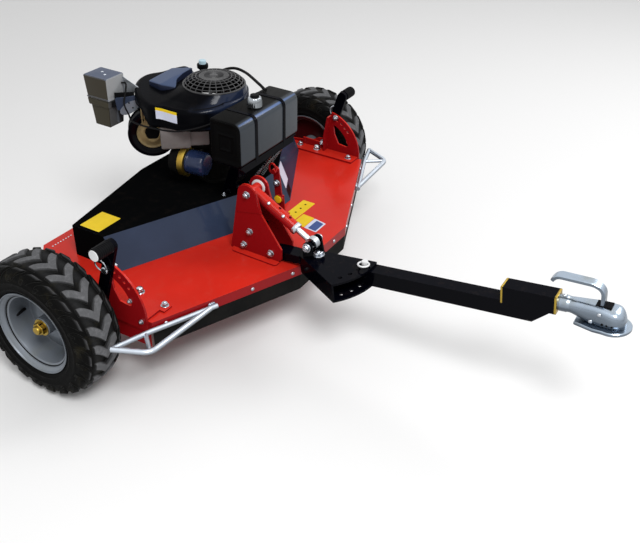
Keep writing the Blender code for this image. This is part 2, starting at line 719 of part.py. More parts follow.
def idler():
    """Tension arm on a post, and the flat pulley that it presses on the belt."""
    x, y = idler_place()
    arm_low = DRIVE_BELT_Z + 0.010
    arm = prism(link_outline(IDLER_PIVOT, (x, y), 0.016, 0.012), arm_low, arm_low + 0.005)
    arm = weld(arm, rod((x, y, arm_low + 0.002), (x, y, DRIVE_BELT_Z - 0.009), 0.006, 20),
               rod((*IDLER_PIVOT, arm_low + 0.002), (*IDLER_PIVOT, IDLER_SHOULDER), 0.012, 20))
    post_hole = rod((*IDLER_PIVOT, DECK_TOP), (*IDLER_PIVOT, arm_low + 0.02), 0.006 + RUN, 20)
    piece("idler_arm", carve(arm, post_hole), "dark_steel", (*IDLER_PIVOT, DRIVE_BELT_Z))
    profile = [(0.006 + RUN, DRIVE_BELT_Z - 0.008), (IDLER_RADIUS, DRIVE_BELT_Z - 0.008),
               (IDLER_RADIUS, DRIVE_BELT_Z + 0.008), (0.006 + RUN, DRIVE_BELT_Z + 0.008)]
    piece("idler_pulley", turned(profile, 32, "Z", (x, y, 0)), "dark_steel", (x, y, DRIVE_BELT_Z))


# Engine

def engine_frame():
    return Matrix.Translation((*CASE, 0)) @ Matrix.Rotation(ENGINE_TURN, 4, "Z")


def crank_in_engine():
    """The crankshaft's place in the engine's frame."""
    place = engine_frame().inverted() @ Vector((*CRANK, 0))
    return place.x, place.y


def filter_axis():
    """Start and heading of the oil filter, level, in the engine's frame."""
    return Vector((0.086, -0.040, 0.420)), Vector((0.574, 0.819, 0.0))


def muffler_round(clearance):
    x, y, z = MUFFLER_PLACE
    c = clearance
    return rod((x - c, y, z), (x + MUFFLER_LENGTH + c * 4, y, z), MUFFLER_RADIUS + c, 36)


def crankcase():
    """Case on a narrow base, with the cylinder and its head, three ears for the cowl and the filter's seat."""
    foot = COVER_TOP + GAP
    side = MUFFLER_PLACE[0] - 0.004
    neck = CASE_BASE_RADIUS
    top = CRANKCASE_TOP
    seat, heading = filter_axis()
    shaft = (*crank_in_engine(), 0)
    case = weld(
        turned([(0, foot), (neck + 0.010, foot), (neck + 0.010, foot + 0.008), (neck, foot + 0.012), (neck, 0.450),
                (neck + 0.010, 0.466), (neck + 0.010, top - 0.006), (0, top - 0.006)], 32, "Z", shaft),
        turned([(0, 0.450), (CRANKCASE_RADIUS - 0.016, 0.450), (CRANKCASE_RADIUS, 0.470), (CRANKCASE_RADIUS, top),
                (0, top)], 32),
        box((-0.083, -0.165, 0.430), (side, 0.01, top - 0.004)),
        box((-0.079, -HEAD_END, 0.440), (side - 0.001, -0.110, 0.580)),
        rod(seat - heading * 0.050, seat, FILTER_SEAT, 28),
    )
    for degrees in (50, 120, 180):
        ear = box((0.060, -0.012, top - 0.010), (HOUSING_RADIUS - 0.008, 0.012, top - 0.0005))
        case = weld(case, moved(ear, Matrix.Rotation(math.radians(degrees), 4, "Z")))
    bore = turned([(0, 0.3), (SHAFT_RADIUS + RUN, 0.3), (SHAFT_RADIUS + RUN, 0.6), (0, 0.6)], 32, "Z", shaft)
    return piece("engine_crankcase", moved(carve(case, bore, muffler_round(0.001)), engine_frame()), "tan_alloy")


def crankshaft():
    """Upright shaft with the drive pulley at its lower end."""
    edge = DRIVE_BELT_Z - GROOVE_WIDTH / 2 - FLANGE_WIDTH
    end = DRIVE_BELT_Z + GROOVE_WIDTH / 2 + FLANGE_WIDTH
    profile = [(0, edge - 0.002), (0.016, edge - 0.002), (0.016, edge)] + groove_profile(DRIVE_BELT_Z)
    profile += [(SHAFT_RADIUS, end), (SHAFT_RADIUS, CRANKCASE_TOP + 0.006), (0, CRANKCASE_TOP + 0.006)]
    return piece("crankshaft", turned(profile, 24, "Z", (*CRANK, 0)), "dark_steel", (*CRANK, DRIVE_BELT_Z))


def cooling_fan():
    """Flywheel with upright vanes, clamped on the end of the crankshaft."""
    low = CRANKCASE_TOP + 0.006 + GAP
    fan = turned([(0, low), (0.020, low), (0.080, low + 0.004), (0.080, low + 0.016), (0.030, low + 0.022),
                  (0, low + 0.022)], 32)
    vanes = [moved(box((0.038, -0.0015, low + 0.014), (0.079, 0.0015, low + 0.050)),
                   Matrix.Rotation(2 * math.pi * i / 8 + 0.1, 4, "Z")) for i in range(8)]
    place = Matrix.Translation((*CRANK, 0))
    return piece("cooling_fan", moved(weld(fan, *vanes), place), "dark_steel", (*CRANK, low))


def leaning(rings, sides=32):
    """Stack of level circles: radius, height and share of the way from the case's middle to the crankshaft."""
    case, crank = Vector(CASE), Vector(CRANK)
    bm = bmesh.new()
    loops = []
    for radius, height, share in rings:
        centre = case.lerp(crank, share)
        loops.append([bm.verts.new((x, y, height)) for x, y in circle(centre, radius, sides)])
    for lower, upper in zip(loops, loops[1:]):
        for i in range(sides):
            j = (i + 1) % sides
            bm.faces.new((lower[i], lower[j], upper[j], upper[i]))
    bm.faces.new(loops[0][::-1])
    bm.faces.new(loops[-1])
    return solid(bm)


def dome(clearance, low):
    """The round part of the cowl as a solid, grown by the clearance: it leans from the case to the screen."""
    c, r = clearance, HOUSING_RADIUS
    return leaning([(r - 0.006 + c, low, 0), (r + c, 0.56, 0), (r - 0.002 + c, 0.590 + c, 0),
                    (r - 0.012 + c, 0.608 + c, 0.15), (r - 0.033 + c, 0.620 + c, 0.55),
                    (GRILLE_RADIUS + 0.006 + c, HOUSING_TOP + c, 1)])


def canopy(lift, low):
    """The cowl over the cylinder as a solid, its roof rising to the far side and raised by the lift."""
    plan = [(SHOULDER_SIDE, -0.020), (-0.110, -0.020), (-0.110, -0.150), (-0.070, -HEAD_END), (0.035, -HEAD_END),
            (SHOULDER_SIDE, -SHOULDER_END)]
    floor = [(x, y, low) for x, y in plan]
    roof = [(x, y, SHOULDER_TOP + lift + (SHOULDER_SIDE - x) * SHOULDER_SLOPE) for x, y in plan]
    return moved(sweep_between(floor, roof), engine_frame())


def blower_housing():
    """Domed cowl with a canopy over the cylinder and the oil filler's neck, open below."""
    base = CRANKCASE_TOP + GAP
    shell = weld(dome(0, base), canopy(0, base),
                 rod((*OIL_CAP_PLACE, 0.604), (*OIL_CAP_PLACE, OIL_NECK_TOP), 0.011, 24))
    r = HOUSING_RADIUS
    cavity = leaning([(r - 0.012, base - 0.01, 0), (r - 0.009, 0.585, 0), (r - 0.019, 0.602, 0.15),
                      (r - 0.040, 0.613, 0.55), (GRILLE_RADIUS + 0.002, HOUSING_TOP - 0.008, 1)], 24)
    tunnel = box((-0.104, -HEAD_END - 0.05, base - 0.01), (0.099, -0.060, SHOULDER_TOP - 0.008))
    mouth = rod((*CRANK, 0.60), (*CRANK, 0.70), GRILLE_RADIUS - 0.004, 32)
    return piece("blower_housing", carve(shell, cavity, moved(tunnel, engine_frame()), mouth), "black_paint")


def blower_grille():
    """Domed screen of hoops and spokes."""
    foot = HOUSING_TOP + GAP
    rise = GRILLE_TOP - foot
    levels = [(GRILLE_RADIUS, 0.0), (0.078, 0.45), (0.058, 0.80)]
    parts = []
    for radius, share in levels:
        low = foot + rise * share
        parts.append(turned([(radius - 0.003, low), (radius + 0.003, low), (radius + 0.003, low + 0.004),
                             (radius - 0.003, low + 0.004)], 24))
    for i in range(8):
        points = [(GRILLE_RADIUS, foot + 0.002), (0.078, foot + rise * 0.45 + 0.002),
                  (0.058, foot + rise * 0.80 + 0.002), (0.036, GRILLE_TOP - 0.0025)]
        angle = 2 * math.pi * i / 8
        parts.append(pipe([(r * math.cos(angle), r * math.sin(angle), z) for r, z in points], 0.0018, 4))
    disc = turned([(0, GRILLE_TOP - 0.005), (0.042, GRILLE_TOP - 0.005), (0.040, GRILLE_TOP), (0, GRILLE_TOP)], 24)
    place = Matrix.Translation((*CRANK, 0))
    return piece("blower_grille", moved(weld(disc, *parts), place), "black_paint")


def air_cleaner():
    """Sloping cover beside the screen, on the canopy and the dome and cut to fit both."""
    low = SHOULDER_TOP + GAP
    plan = [(-0.044, 0.160), (-0.052, 0.106), (-0.034, 0.062), (0.052, 0.058), (0.096, 0.086), (0.060, 0.152)]
    tops = [0.644, 0.640, 0.643, 0.655, 0.658, 0.656]
    inner = inset(plan, 0.006)
    cover = sweep_between([(x, y, low) for x, y in plan], [(x, y, z) for (x, y), z in zip(inner, tops)])
    screen = rod((*CRANK, 0.60), (*CRANK, 0.70), GRILLE_RADIUS + 0.010, 32)
    return piece("air_cleaner_cover", carve(cover, dome(GAP, 0.5), canopy(GAP, 0.5), screen), "black_paint")


def side_cover():
    """Grey two-step box on the crankcase's outer side."""
    top = CRANKCASE_TOP
    cover = weld(box((0.036, -0.122, 0.4705), (0.103, -0.035, top - 0.001)),
                 box((0.040, -0.038, 0.474), (0.095, 0.022, top - 0.005)))
    case = rod((0, 0, 0.3), (0, 0, 0.6), CRANKCASE_RADIUS + GAP, 32)
    return piece("engine_side_cover", moved(carve(cover, case), engine_frame()), "cast_alloy")


def muffler():
    """Round drum with a dished end plate and its outlet, held by a lug on the cylinder."""
    radius = MUFFLER_RADIUS
    length = MUFFLER_LENGTH
    drum = turned([(0, 0), (radius - 0.004, 0), (radius, 0.004), (radius, length), (radius - 0.020, length),
                   (radius - 0.024, length - 0.010), (0, length - 0.010)], 36, "X", MUFFLER_PLACE)
    x, y, z = MUFFLER_PLACE
    lug = box((x - 0.004 + GAP, y - 0.020, z - 0.020), (x + 0.005, y + 0.015, z + 0.020))
    piece("muffler_drum", moved(weld(drum, lug), engine_frame()), "black_paint")
    edge = radius - 0.0245
    start = (MUFFLER_PLACE[0] + length - 0.010 + GAP, *MUFFLER_PLACE[1:])
    plate = turned([(0, 0), (edge, 0), (edge, 0.003), (0.030, 0.012), (0.026, 0.012), (0.018, 0.004), (0, 0.004)],
                   32, "X", start)
    piece("muffler_end_plate", moved(plate, engine_frame()), "tan_alloy")


def oil_filter():
    """Screw-on canister on the crankcase's round seat."""
    profile = [(0, 0), (0.030, 0), (0.036, 0.006), (0.0375, 0.010), (0.0375, 0.054), (0.030, 0.062), (0, 0.062)]
    canister = turned(profile, 24, "X")
    seat, heading = filter_axis()
    canister = moved(canister, Matrix.Rotation(math.atan2(heading.y, heading.x), 4, "Z"))
    canister = moved(canister, Matrix.Translation(seat + heading * GAP))
    return piece("oil_filter", moved(canister, engine_frame()), "filter_blue")


def screw_cap(name, place, neck_top, neck_radius, colour):
    """A cap over a round neck, with a knob on top."""
    bore = neck_radius + RUN
    low = neck_top - 0.010
    roof = neck_top + GAP
    profile = [(bore, low), (bore + 0.005, low), (bore + 0.006, roof + 0.003), (bore - 0.002, roof + 0.006),
               (bore - 0.004, roof + 0.016), (0, roof + 0.016), (0, roof), (bore, roof)]
    return piece(name, turned(profile, 24, "Z", (*place, 0)), colour, (*place, low))


def fuel_tank():
    """Rectangular tank with a rounded front edge and a filler neck."""
    back, front = TANK_REAR, TANK_FRONT
    r = TANK_ROUND
    outline = [(back, TANK_BOTTOM), (back, TANK_TOP - 0.006), (back - 0.006, TANK_TOP)]
    outline += arc((front + r, TANK_TOP - r), r, math.pi / 2, math.pi, 6)
    outline += arc((front + 0.010, TANK_BOTTOM + 0.010), 0.010, math.pi, 1.5 * math.pi, 3)
    tank = slab(outline, -TANK_HALF, TANK_HALF)
    neck = rod((*CAP_PLACE, TANK_TOP - 0.004), (*CAP_PLACE, TANK_TOP + 0.014), 0.016, 24)
    return piece("fuel_tank", weld(tank, neck), "tank_plastic")


def tank_strap(name, x):
    """Steel band over the tank, its ends welded on a bar under the tray."""
    half = 0.006
    thick = 0.0016
    r = TANK_ROUND
    end = TANK_BOTTOM - 0.004 - GAP * 2

    def path(offset, low):
        points = [(TANK_REAR + offset, low), (TANK_REAR + offset, TANK_TOP + offset - 0.006),
                  (TANK_REAR - 0.006, TANK_TOP + offset)]
        points += arc((TANK_FRONT + r, TANK_TOP - r), r + offset, math.pi / 2, math.pi, 6)
        points += [(TANK_FRONT - offset, low)]
        return points

    outline = path(GAP + thick, end - thick) + path(GAP, end)[::-1]
    return piece(name, slab(outline, x - half, x + half), "black_paint")


def tank_frame():
    """Channel under the tank and its leaning post from the belt cover."""
    top = TANK_BOTTOM - GAP
    tray = box((-TANK_HALF + 0.006, TANK_FRONT + 0.004, top - 0.004), (TANK_HALF - 0.006, TANK_REAR - 0.004, top))
    lip = box((-TANK_HALF + 0.006, TANK_FRONT + 0.012, top - 0.030), (TANK_HALF - 0.006, TANK_FRONT + 0.016, top - 0.002))
    foot = COVER_TOP + GAP
    low = [(-0.045, -0.138, foot), (0.012, -0.138, foot), (0.012, -0.100, foot), (-0.045, -0.100, foot)]
    high = [(-0.055, -0.205, top - 0.002), (0.020, -0.205, top - 0.002), (0.020, -0.166, top - 0.002),
            (-0.055, -0.166, top - 0.002)]
    return piece("tank_frame", weld(tray, lip, sweep_between(low, high)), "black_paint")


def rectangle(left, right, rear, front, z):
    return [(left, rear, z), (right, rear, z), (right, front, z), (left, front, z)]


def control_box():
    """Upper box, and the lower housing with the plate that carries both from the cowl."""
    low, high = 0.585, 0.657
    upper = sweep_between(rectangle(-0.142, -0.066, 0.238, 0.322, low), rectangle(-0.146, -0.068, 0.234, 0.326, high))
    piece("control_box", upper, "box_grey")
    base = sweep_between(rectangle(-0.138, -0.080, 0.246, 0.304, 0.500),
                         rectangle(-0.138, -0.070, 0.240, 0.316, low - GAP))
    arm = weld(box((-0.020, -0.280, 0.566), (-0.015, -HEAD_END - GAP, 0.583)),
               box((-0.0205, -0.250, 0.565), (-0.0145, -HEAD_END - 0.001, 0.610)),
               box((-0.070, -HEAD_END - 0.006, 0.563), (-0.018, -HEAD_END - GAP, 0.579)))
    piece("control_box_base", weld(base, moved(arm, engine_frame())), "black_paint")


def smooth_route(knots, spacing):
    """Points at even steps along a Catmull-Rom curve through the knots."""
    knots = [Vector(knot) for knot in knots]
    knots = [2 * knots[0] - knots[1]] + knots + [2 * knots[-1] - knots[-2]]
    fine = []
    for a, b, c, d in zip(knots, knots[1:], knots[2:], knots[3:]):
        for i in range(24):
            t = i / 24
            fine.append(0.5 * (2 * b + (c - a) * t + (2 * a - 5 * b + 4 * c - d) * t * t
                               + (3 * b - a - 3 * c + d) * t ** 3))
    fine.append(knots[-2])
    length = sum((q - p).length for p, q in zip(fine, fine[1:]))
    step = length / max(2, round(length / spacing))
    points = [fine[0]]
    carried = 0.0
    for p, q in zip(fine, fine[1:]):
        run = (q - p).length
        while carried + run >= step * 0.9999:
            p = p + (q - p) * ((step - carried) / run)
            run = (q - p).length
            carried = 0.0
            points.append(p)
        carried += run
    points[-1] = fine[-1]
    return points


def cable(name, knots, radius, colour):
    """A round flexible line along a smooth route."""
    points = smooth_route(knots, radius * 6)
    curve = bpy.data.curves.new(name, "CURVE")
    curve.dimensions = "3D"
    curve.bevel_depth = radius
    curve.bevel_resolution = 2
    curve.use_fill_caps = True
    spline = curve.splines.new("POLY")
    spline.points.add(len(points) - 1)
    for slot, point in zip(spline.points, points):
        slot.co = (*(Vector(point) + HOME), 1)
    line = bpy.data.objects.new(name, curve)
    bpy.context.scene.collection.objects.link(line)
    curve.materials.append(material(colour))
    return line


def round_case(radius, degrees, z):
    """A point beside the engine, by its bearing from the middle of the case."""
    angle = math.radians(degrees)
    return (CASE[0] + radius * math.cos(angle), CASE[1] + radius * math.sin(angle), z)


def cables():
    cable("throttle_cable", [
        (-0.082, 0.2325, 0.630), (-0.085, 0.213, 0.632), (-0.103, 0.200, 0.617), (-0.126, 0.189, 0.588),
        (-0.131, 0.172, 0.562), round_case(0.205, 152, 0.548), round_case(0.178, 190, 0.552),
        round_case(0.166, 215, 0.562), round_case(0.163, 240, 0.580), round_case(0.166, 262, 0.600),
        (0.040, -0.1472, 0.607),
    ], 0.0026, "rubber")
    inlet = engine_frame() @ Vector((-0.0834, -0.035, 0.505))
    outside = engine_frame() @ Vector((-0.108, -0.035, 0.505))
    cable("fuel_hose", [
        inlet, outside, round_case(0.150, 46, 0.515), round_case(0.170, 36, 0.555), round_case(0.172, 18, 0.605),
        round_case(0.168, -2, 0.634), round_case(0.165, -25, 0.640), (0.118, -0.135, 0.642),
        (0.104, -0.162, 0.6373), (0.098, -0.174, 0.6369),
    ], 0.0045, "rubber")


def clutch_lever():
    """Flat lever with a round eye for its cable."""
    y, z = LEVER_PIVOT
    near = LEVER_FACE - 0.0005
    far = near - 0.005
    top = (y + 0.010, z + 0.098)
    blade_of_lever = slab(link_outline((y, z), top, 0.013, 0.011), far, near)
    boss = rod((near, y, z), (far - 0.003, y, z), 0.015, 24)
    grip = rod((far + 0.001, *top), (far - 0.016, *top), 0.008, 16)
    lever = weld(blade_of_lever, boss, grip)
    lever = carve(lever, rod((near + 0.01, y, z), (far - 0.01, y, z), 0.005 + RUN, 20),
                  rod((near + 0.01, y + 0.006, z + 0.055), (far - 0.01, y + 0.006, z + 0.055), 0.006, 16))
    return piece("clutch_lever", lever, "red_paint", (near, y, z))


# Hitch tower and drawbar

def bar_frame():
    """From the drawbar's level frame, hinge at the origin and bar along -Y, to its pitched place."""
    return Matrix.Translation(HITCH) @ Matrix.Rotation(-BAR_PITCH, 4, "X")


def on_bar(u, s, h):
    return bar_frame() @ Vector((u, -s, h))


def hinge_place():
    return on_bar(0, 0, HINGE_RISE)


def tower_outline():
    foot = DECK_TOP + GAP
    y, z = TOWER_APEX
    points = [(-0.214, foot), (y + 0.033, z)]
    points += arc((y, z), 0.033, 0.0, math.pi, 10)[1:]
    return points + [(-0.326, 0.377), (-0.394, 0.282), (-0.394, foot + 0.014), (-0.380, foot)]


def hitch_tower():
    """Two triangular plates on the deck with a block between; the right one carries both cross pins."""
    near = HITCH.x - TOWER_GAP / 2
    far = HITCH.x + TOWER_GAP / 2
    hinge = hinge_place()
    plate = slab(tower_outline(), near - SECTOR_PLATE, near)
    right = weld(plate, rod((near - 0.003, *TOWER_APEX), (far - GAP, *TOWER_APEX), LINK_PIN, 16),
                 rod((near - 0.003, hinge.y, hinge.z), (far - GAP, hinge.y, hinge.z), HINGE_PIN, 16))
    piece("hitch_tower_right", right, "red_paint")
    piece("hitch_tower_left", slab(tower_outline(), far, far + SECTOR_PLATE), "red_paint")
    block = box((near + GAP, -0.310, DECK_TOP + GAP), (far - GAP, -0.235, 0.325))
    piece("hitch_tower_block", block, "black_paint")


def pin_hole(angle):
    """Place of a swing hole in u, s; the angle runs from straight ahead to the right."""
    return (-PIN_ARC_RADIUS * math.sin(angle), SWIVEL + PIN_ARC_RADIUS * math.cos(angle))


def upright(u, s, low, high, radius, sides=16):
    return rod((u, -s, low), (u, -s, high), radius, sides)


def sector_outline():
    rim_of_arc = [(-SECTOR_RADIUS * math.sin(a), SWIVEL + SECTOR_RADIUS * math.cos(a))
                  for a in [-SECTOR_FAR + (SECTOR_FAR + SECTOR_NEAR) * i / 14 for i in range(15)]]
    outline = [(BAR / 2, 0.091)] + rim_of_arc + [(-BAR / 2, 0.091)]
    return [(u, -s) for u, s in outline]


def drawbar_beam():
    """Hinged lug, the two sector plates with their side wall, the link ears and the swivel bolt."""
    half = BAR / 2
    plate_low = half + GAP
    plate_high = plate_low + SECTOR_PLATE
    eye = [(-s, h) for s, h in arc((0, HINGE_RISE), 0.0135, math.radians(90), math.radians(270), 8)]
    profile = eye + [(-0.090, HINGE_RISE - 0.0135), (-0.093, -half), (-0.113, -half), (-0.113, half),
                     (-0.030, HINGE_RISE + 0.0135)]
    lug = slab(profile, -half, half)
    outline = sector_outline()
    inner_corner, outer_corner = Vector(outline[-1]), Vector(outline[-2])
    along = (outer_corner - inner_corner).normalized()
    inward = Vector((along.y, -along.x))
    if inward.dot(Vector((0, -SWIVEL)) - inner_corner) < 0:
        inward = -inward
    wall = [inner_corner, outer_corner, outer_corner + inward * 0.005, inner_corner + inward * 0.005]
    thick = plate_low + 0.002
    ear_y, ear_h = -EYE_PLACE[0], EYE_PLACE[1]
    ear = [(ear_y - 0.018, plate_low + 0.001), (ear_y + 0.018, plate_low + 0.001), (ear_y + 0.015, ear_h)]
    ear += arc((ear_y, ear_h), 0.015, 0, math.pi, 8)[1:]
    parts = [
        prism(outline, plate_low, plate_high), prism(outline, -plate_high, -plate_low),
        box((-half, -0.112, half - 0.002), (half, -0.092, plate_high - 0.001)),
        box((-half, -0.112, -plate_high + 0.001), (half, -0.092, -half + 0.002)),
        prism([tuple(corner) for corner in wall], -thick, thick),
        slab(ear, EAR_INNER, EAR_INNER + 0.006), slab(ear, -EAR_INNER - 0.006, -EAR_INNER),
        rod((-EAR_INNER - 0.009, ear_y, ear_h), (EAR_INNER + 0.009, ear_y, ear_h), LINK_PIN, 16),
        box((-EAR_INNER - 0.006, -0.120, plate_high - 0.004), (-half + 0.002, -0.104, plate_high)),
        upright(0, SWIVEL, -plate_high - 0.006, plate_high + 0.008, SWIVEL_PIN, 16),
        upright(0, SWIVEL, plate_high - 0.001, plate_high + 0.007, 0.013, 6),
        upright(0, SWIVEL, -plate_high - 0.007, -plate_high + 0.001, 0.013, 6),
    ]
    beam = weld(lug, *parts)
    cutters = [rod((-0.05, 0, HINGE_RISE), (0.05, 0, HINGE_RISE), HINGE_PIN + RUN, 24)]
    for i in range(SWING_HOLES):
        u, s = pin_hole(i * SWING_STEP)
        cutters.append(upright(u, s, -0.04, 0.04, 0.0065, 12))
    beam = carve(beam, *cutters)
    return piece("drawbar_beam", moved(beam, bar_frame()), "black_paint", hinge_place())


def drawbar_tube():
    """Square tube with a rounded rear end, bored for the swivel bolt, carrying the coupler's box."""
    half = BAR / 2
    end = LOWER_TUBE_END
    nose = end + 0.042
    side_view = [(-(SWIVEL - half), -half), (-end, -half), (-nose, 0.012), (-nose, half), (-(SWIVEL - half), half)]
    tube = slab(side_view, -half, half)
    plan = [(half, -1.0), (half, -SWIVEL)] + arc((0, -SWIVEL), half, 0, math.pi, 12)[1:] + [(-half, -1.0)]
    tube = boolean(tube, [prism(plan, -0.1, 0.1)], "INTERSECT")
    core = half - BAR_WALL
    hollow = box((-core, -end + 0.006, -core), (core, -SWIVEL + 0.05, core))
    low = FRONT_BOX_TOP - FRONT_BOX
    front = box((-FRONT_BOX / 2, -FRONT_BOX_FRONT, low), (FRONT_BOX / 2, -FRONT_BOX_REAR, FRONT_BOX_TOP))
    tube = weld(carve(tube, hollow), front)
    bore = rod((0, -FRONT_BOX_FRONT - 0.01, COUPLER_AXIS), (0, -FRONT_BOX_REAR - 0.02, COUPLER_AXIS),
               COUPLER_TUBE + GAP, 28)
    u, s = pin_hole(0)
    tube = carve(tube, bore, upright(0, SWIVEL, -0.04, 0.04, SWIVEL_PIN + RUN, 24), upright(u, s, -0.04, 0.04, 0.0065, 16))
    return piece("drawbar_tube", moved(tube, bar_frame()), "black_paint", on_bar(0, SWIVEL, 0))


def swing_pin():
    """Lock pin of the swing plates with its pull ring; its tip stops in the top plate."""
    u, s = pin_hole(0)
    low = BAR / 2 + GAP
    top = low + SECTOR_PLATE + GAP
    pin = weld(upright(u, s, low + 0.0005, top + 0.002, 0.0058, 16), upright(u, s, top, top + 0.012, 0.009, 16),
               ring((u, -s, top + 0.022), 0.012, 0.002, Vector((0, 1, 0))))
    return piece("swing_pin", moved(pin, bar_frame()), "zinc", on_bar(u, s, top))


def link_frame():
    """From a level frame with the link along -Y to its place between the tower's apex and the beam's ears."""
    eye = on_bar(0, *EYE_PLACE)
    y, z = TOWER_APEX
    fall = math.atan2(z - eye.z, y - eye.y)
    return Matrix.Translation((HITCH.x, y, z)) @ Matrix.Rotation(fall, 4, "X"), math.hypot(z - eye.z, y - eye.y)


def top_link():
    """Red tube from the tower with the bright rod that slides in it and pins to the beam."""
    frame, length = link_frame()
    half = TOWER_GAP / 2 - GAP - 0.004
    tube = weld(rod((-half, 0, 0), (half, 0, 0), 0.0155, 24), rod((0, -0.006, 0), (0, -LINK_TUBE_END, 0), 0.0168, 20))
    cutters = [rod((-0.05, 0, 0), (0.05, 0, 0), LINK_PIN + RUN, 24),
               rod((0, -0.045, 0), (0, -0.2, 0), LINK_ROD + RUN, 24)]
    cutters += [rod((0, -t, -0.03), (0, -t, 0.03), 0.0045, 12) for t in (0.095, 0.135)]
    piece("top_link_tube", moved(carve(tube, *cutters), frame), "red_paint", frame.translation)
    shank = rod((0, -LINK_ROD_START, 0), (0, -length + 0.012, 0), LINK_ROD, 20)
    lug = weld(rod((-0.010, -length, 0), (0.010, -length, 0), 0.019, 24), shank)
    lug = carve(lug, rod((-0.05, -length, 0), (0.05, -length, 0), EYE_BORE, 24))
    piece("top_link_rod", moved(lug, frame), "zinc", on_bar(0, *EYE_PLACE))


def coupler_body():
    """Ball coupler: round shank, pressed head with a slot for its handle, flange and ball socket."""
    side_view = [(-0.862, COUPLER_AXIS - 0.019), (-0.930, 0.000), (-1.007, 0.000), (-1.007, 0.012), (-0.994, 0.034),
                 (-0.978, 0.045), (-0.955, 0.054), (-0.930, 0.058), (-0.880, 0.057), (-0.862, COUPLER_AXIS + 0.019)]
    head = slab(side_view, -0.05, 0.05)
    plan = [(0.0195, -0.860), (-0.0195, -0.860), (-0.022, -0.900), (-0.030, -0.945)]
    plan += arc((0, -BALL_PLACE), 0.032, math.radians(168), math.radians(372), 12)
    plan += [(0.030, -0.945), (0.022, -0.900)]
    head = boolean(head, [prism(plan[::-1], -0.1, 0.1)], "INTERSECT")
    foot = [(0.024, -0.876), (-0.024, -0.876), (-0.040, -0.925)]
    foot += arc((0, -BALL_PLACE), 0.045, math.radians(160), math.radians(380), 12)
    foot += [(0.040, -0.925)]
    flange = prism(foot[::-1], -0.003, 0.007)
    shank = rod((0, -0.800, COUPLER_AXIS), (0, -0.870, COUPLER_AXIS), COUPLER_TUBE, 28)
    body = weld(head, flange, shank)
    socket = turned([(0, 0.0)] + [(0.0255 * math.cos(a), 0.0255 * math.sin(a)) for a in
                                  [math.pi / 2 * i / 4 for i in range(4)]] + [(0, 0.0255)], 20, "Z", (0, -BALL_PLACE, 0))
    throat = upright(0, BALL_PLACE, -0.02, 0.0005, 0.0255, 20)
    slot = box((-0.0155, -0.995, 0.0305), (0.0155, -0.920, 0.2))
    body = carve(body, weld(socket, throat), slot)
    s, h = HANDLE_PIVOT
    body = weld(body, rod((-0.030, -s, h), (0.030, -s, h), 0.005, 20))
    return piece("coupler_body", moved(body, bar_frame()), "zinc", on_bar(0, 0.800, COUPLER_AXIS))


def coupler_handle():
    """Locking handle: a post in the slot and a bar running back over the shank."""
    s, h = HANDLE_PIVOT
    outline = arc((-s, h), 0.0115, math.radians(180), math.radians(360), 8)
    outline += [(-0.931, 0.096), (-0.922, 0.1055), (-0.826, 0.113), (-0.820, 0.108), (-0.817, 0.092), (-0.812, 0.092),
                (-0.812, 0.112), (-0.820, 0.120), (-0.924, 0.114), (-0.940, 0.108), (-0.946, 0.096)]
    handle = slab(outline, -0.0148, 0.0148)
    handle = carve(handle, rod((-0.05, -s, h), (0.05, -s, h), 0.005 + RUN, 20))
    return piece("coupler_handle", moved(handle, bar_frame()), "zinc", on_bar(0, s, h))


def build():
    clear_scene()
    deck_shell()
    front_skirt()
    rear_skirt()
    belt_cover()
    for side, word in ((-1, "right"), (1, "left")):
        adjuster_bracket(word + "_adjuster_bracket", side)
        wheel_arm(word + "_wheel_arm", side)
        height_pin(word + "_height_pin", side)
        tyre(word + "_tyre", side)
        rim(word + "_rim", side)
        wheel_guard(word + "_wheel_guard", side)
    for word, place, turn in zip(("right", "centre", "left"), spindle_places(), (0.3, 1.2, 2.3)):
        spindle_housing(word + "_spindle_housing", place)
        spindle(word + "_blade_spindle", place, word == "centre")
        blade(word + "_blade", place, turn)
    belt("drive_belt", [CRANK, CENTRE_SPINDLE], DRIVE_BELT_Z)
    belt("blade_belt", spindle_places(), BLADE_BELT_Z)
    idler()
    crankcase()
    crankshaft()
    cooling_fan()
    blower_housing()
    blower_grille()
    air_cleaner()
    side_cover()
    muffler()
    oil_filter()
    screw_cap("oil_filler_cap", OIL_CAP_PLACE, OIL_NECK_TOP, 0.011, "black_paint")
    fuel_tank()
    screw_cap("fuel_cap", CAP_PLACE, TANK_TOP + 0.014, 0.016, "zinc")
    tank_strap("right_tank_strap", -STRAP_PLACE)
    tank_strap("left_tank_strap", STRAP_PLACE)
    tank_frame()
    control_box()
    cables()
    clutch_lever()
    hitch_tower()
    drawbar_beam()
    drawbar_tube()
    swing_pin()
    top_link()
    coupler_body()
    coupler_handle()


build()
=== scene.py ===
# %% [markdown]
# # Tow-behind rotary mower
# A red three-spindle deck with a petrol engine, two lugged tyres and a swivelling drawbar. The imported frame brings
# the solid parts, each in its place. This file dresses them: it makes the shapes that a plain solid only stands for,
# such as tread lugs and the engine's cowl, and it gives every surface a finish worked out by nodes.

# %% Load the frame
import json
import math

import bmesh
import bpy
import numpy as np
from mathutils import Matrix, Vector

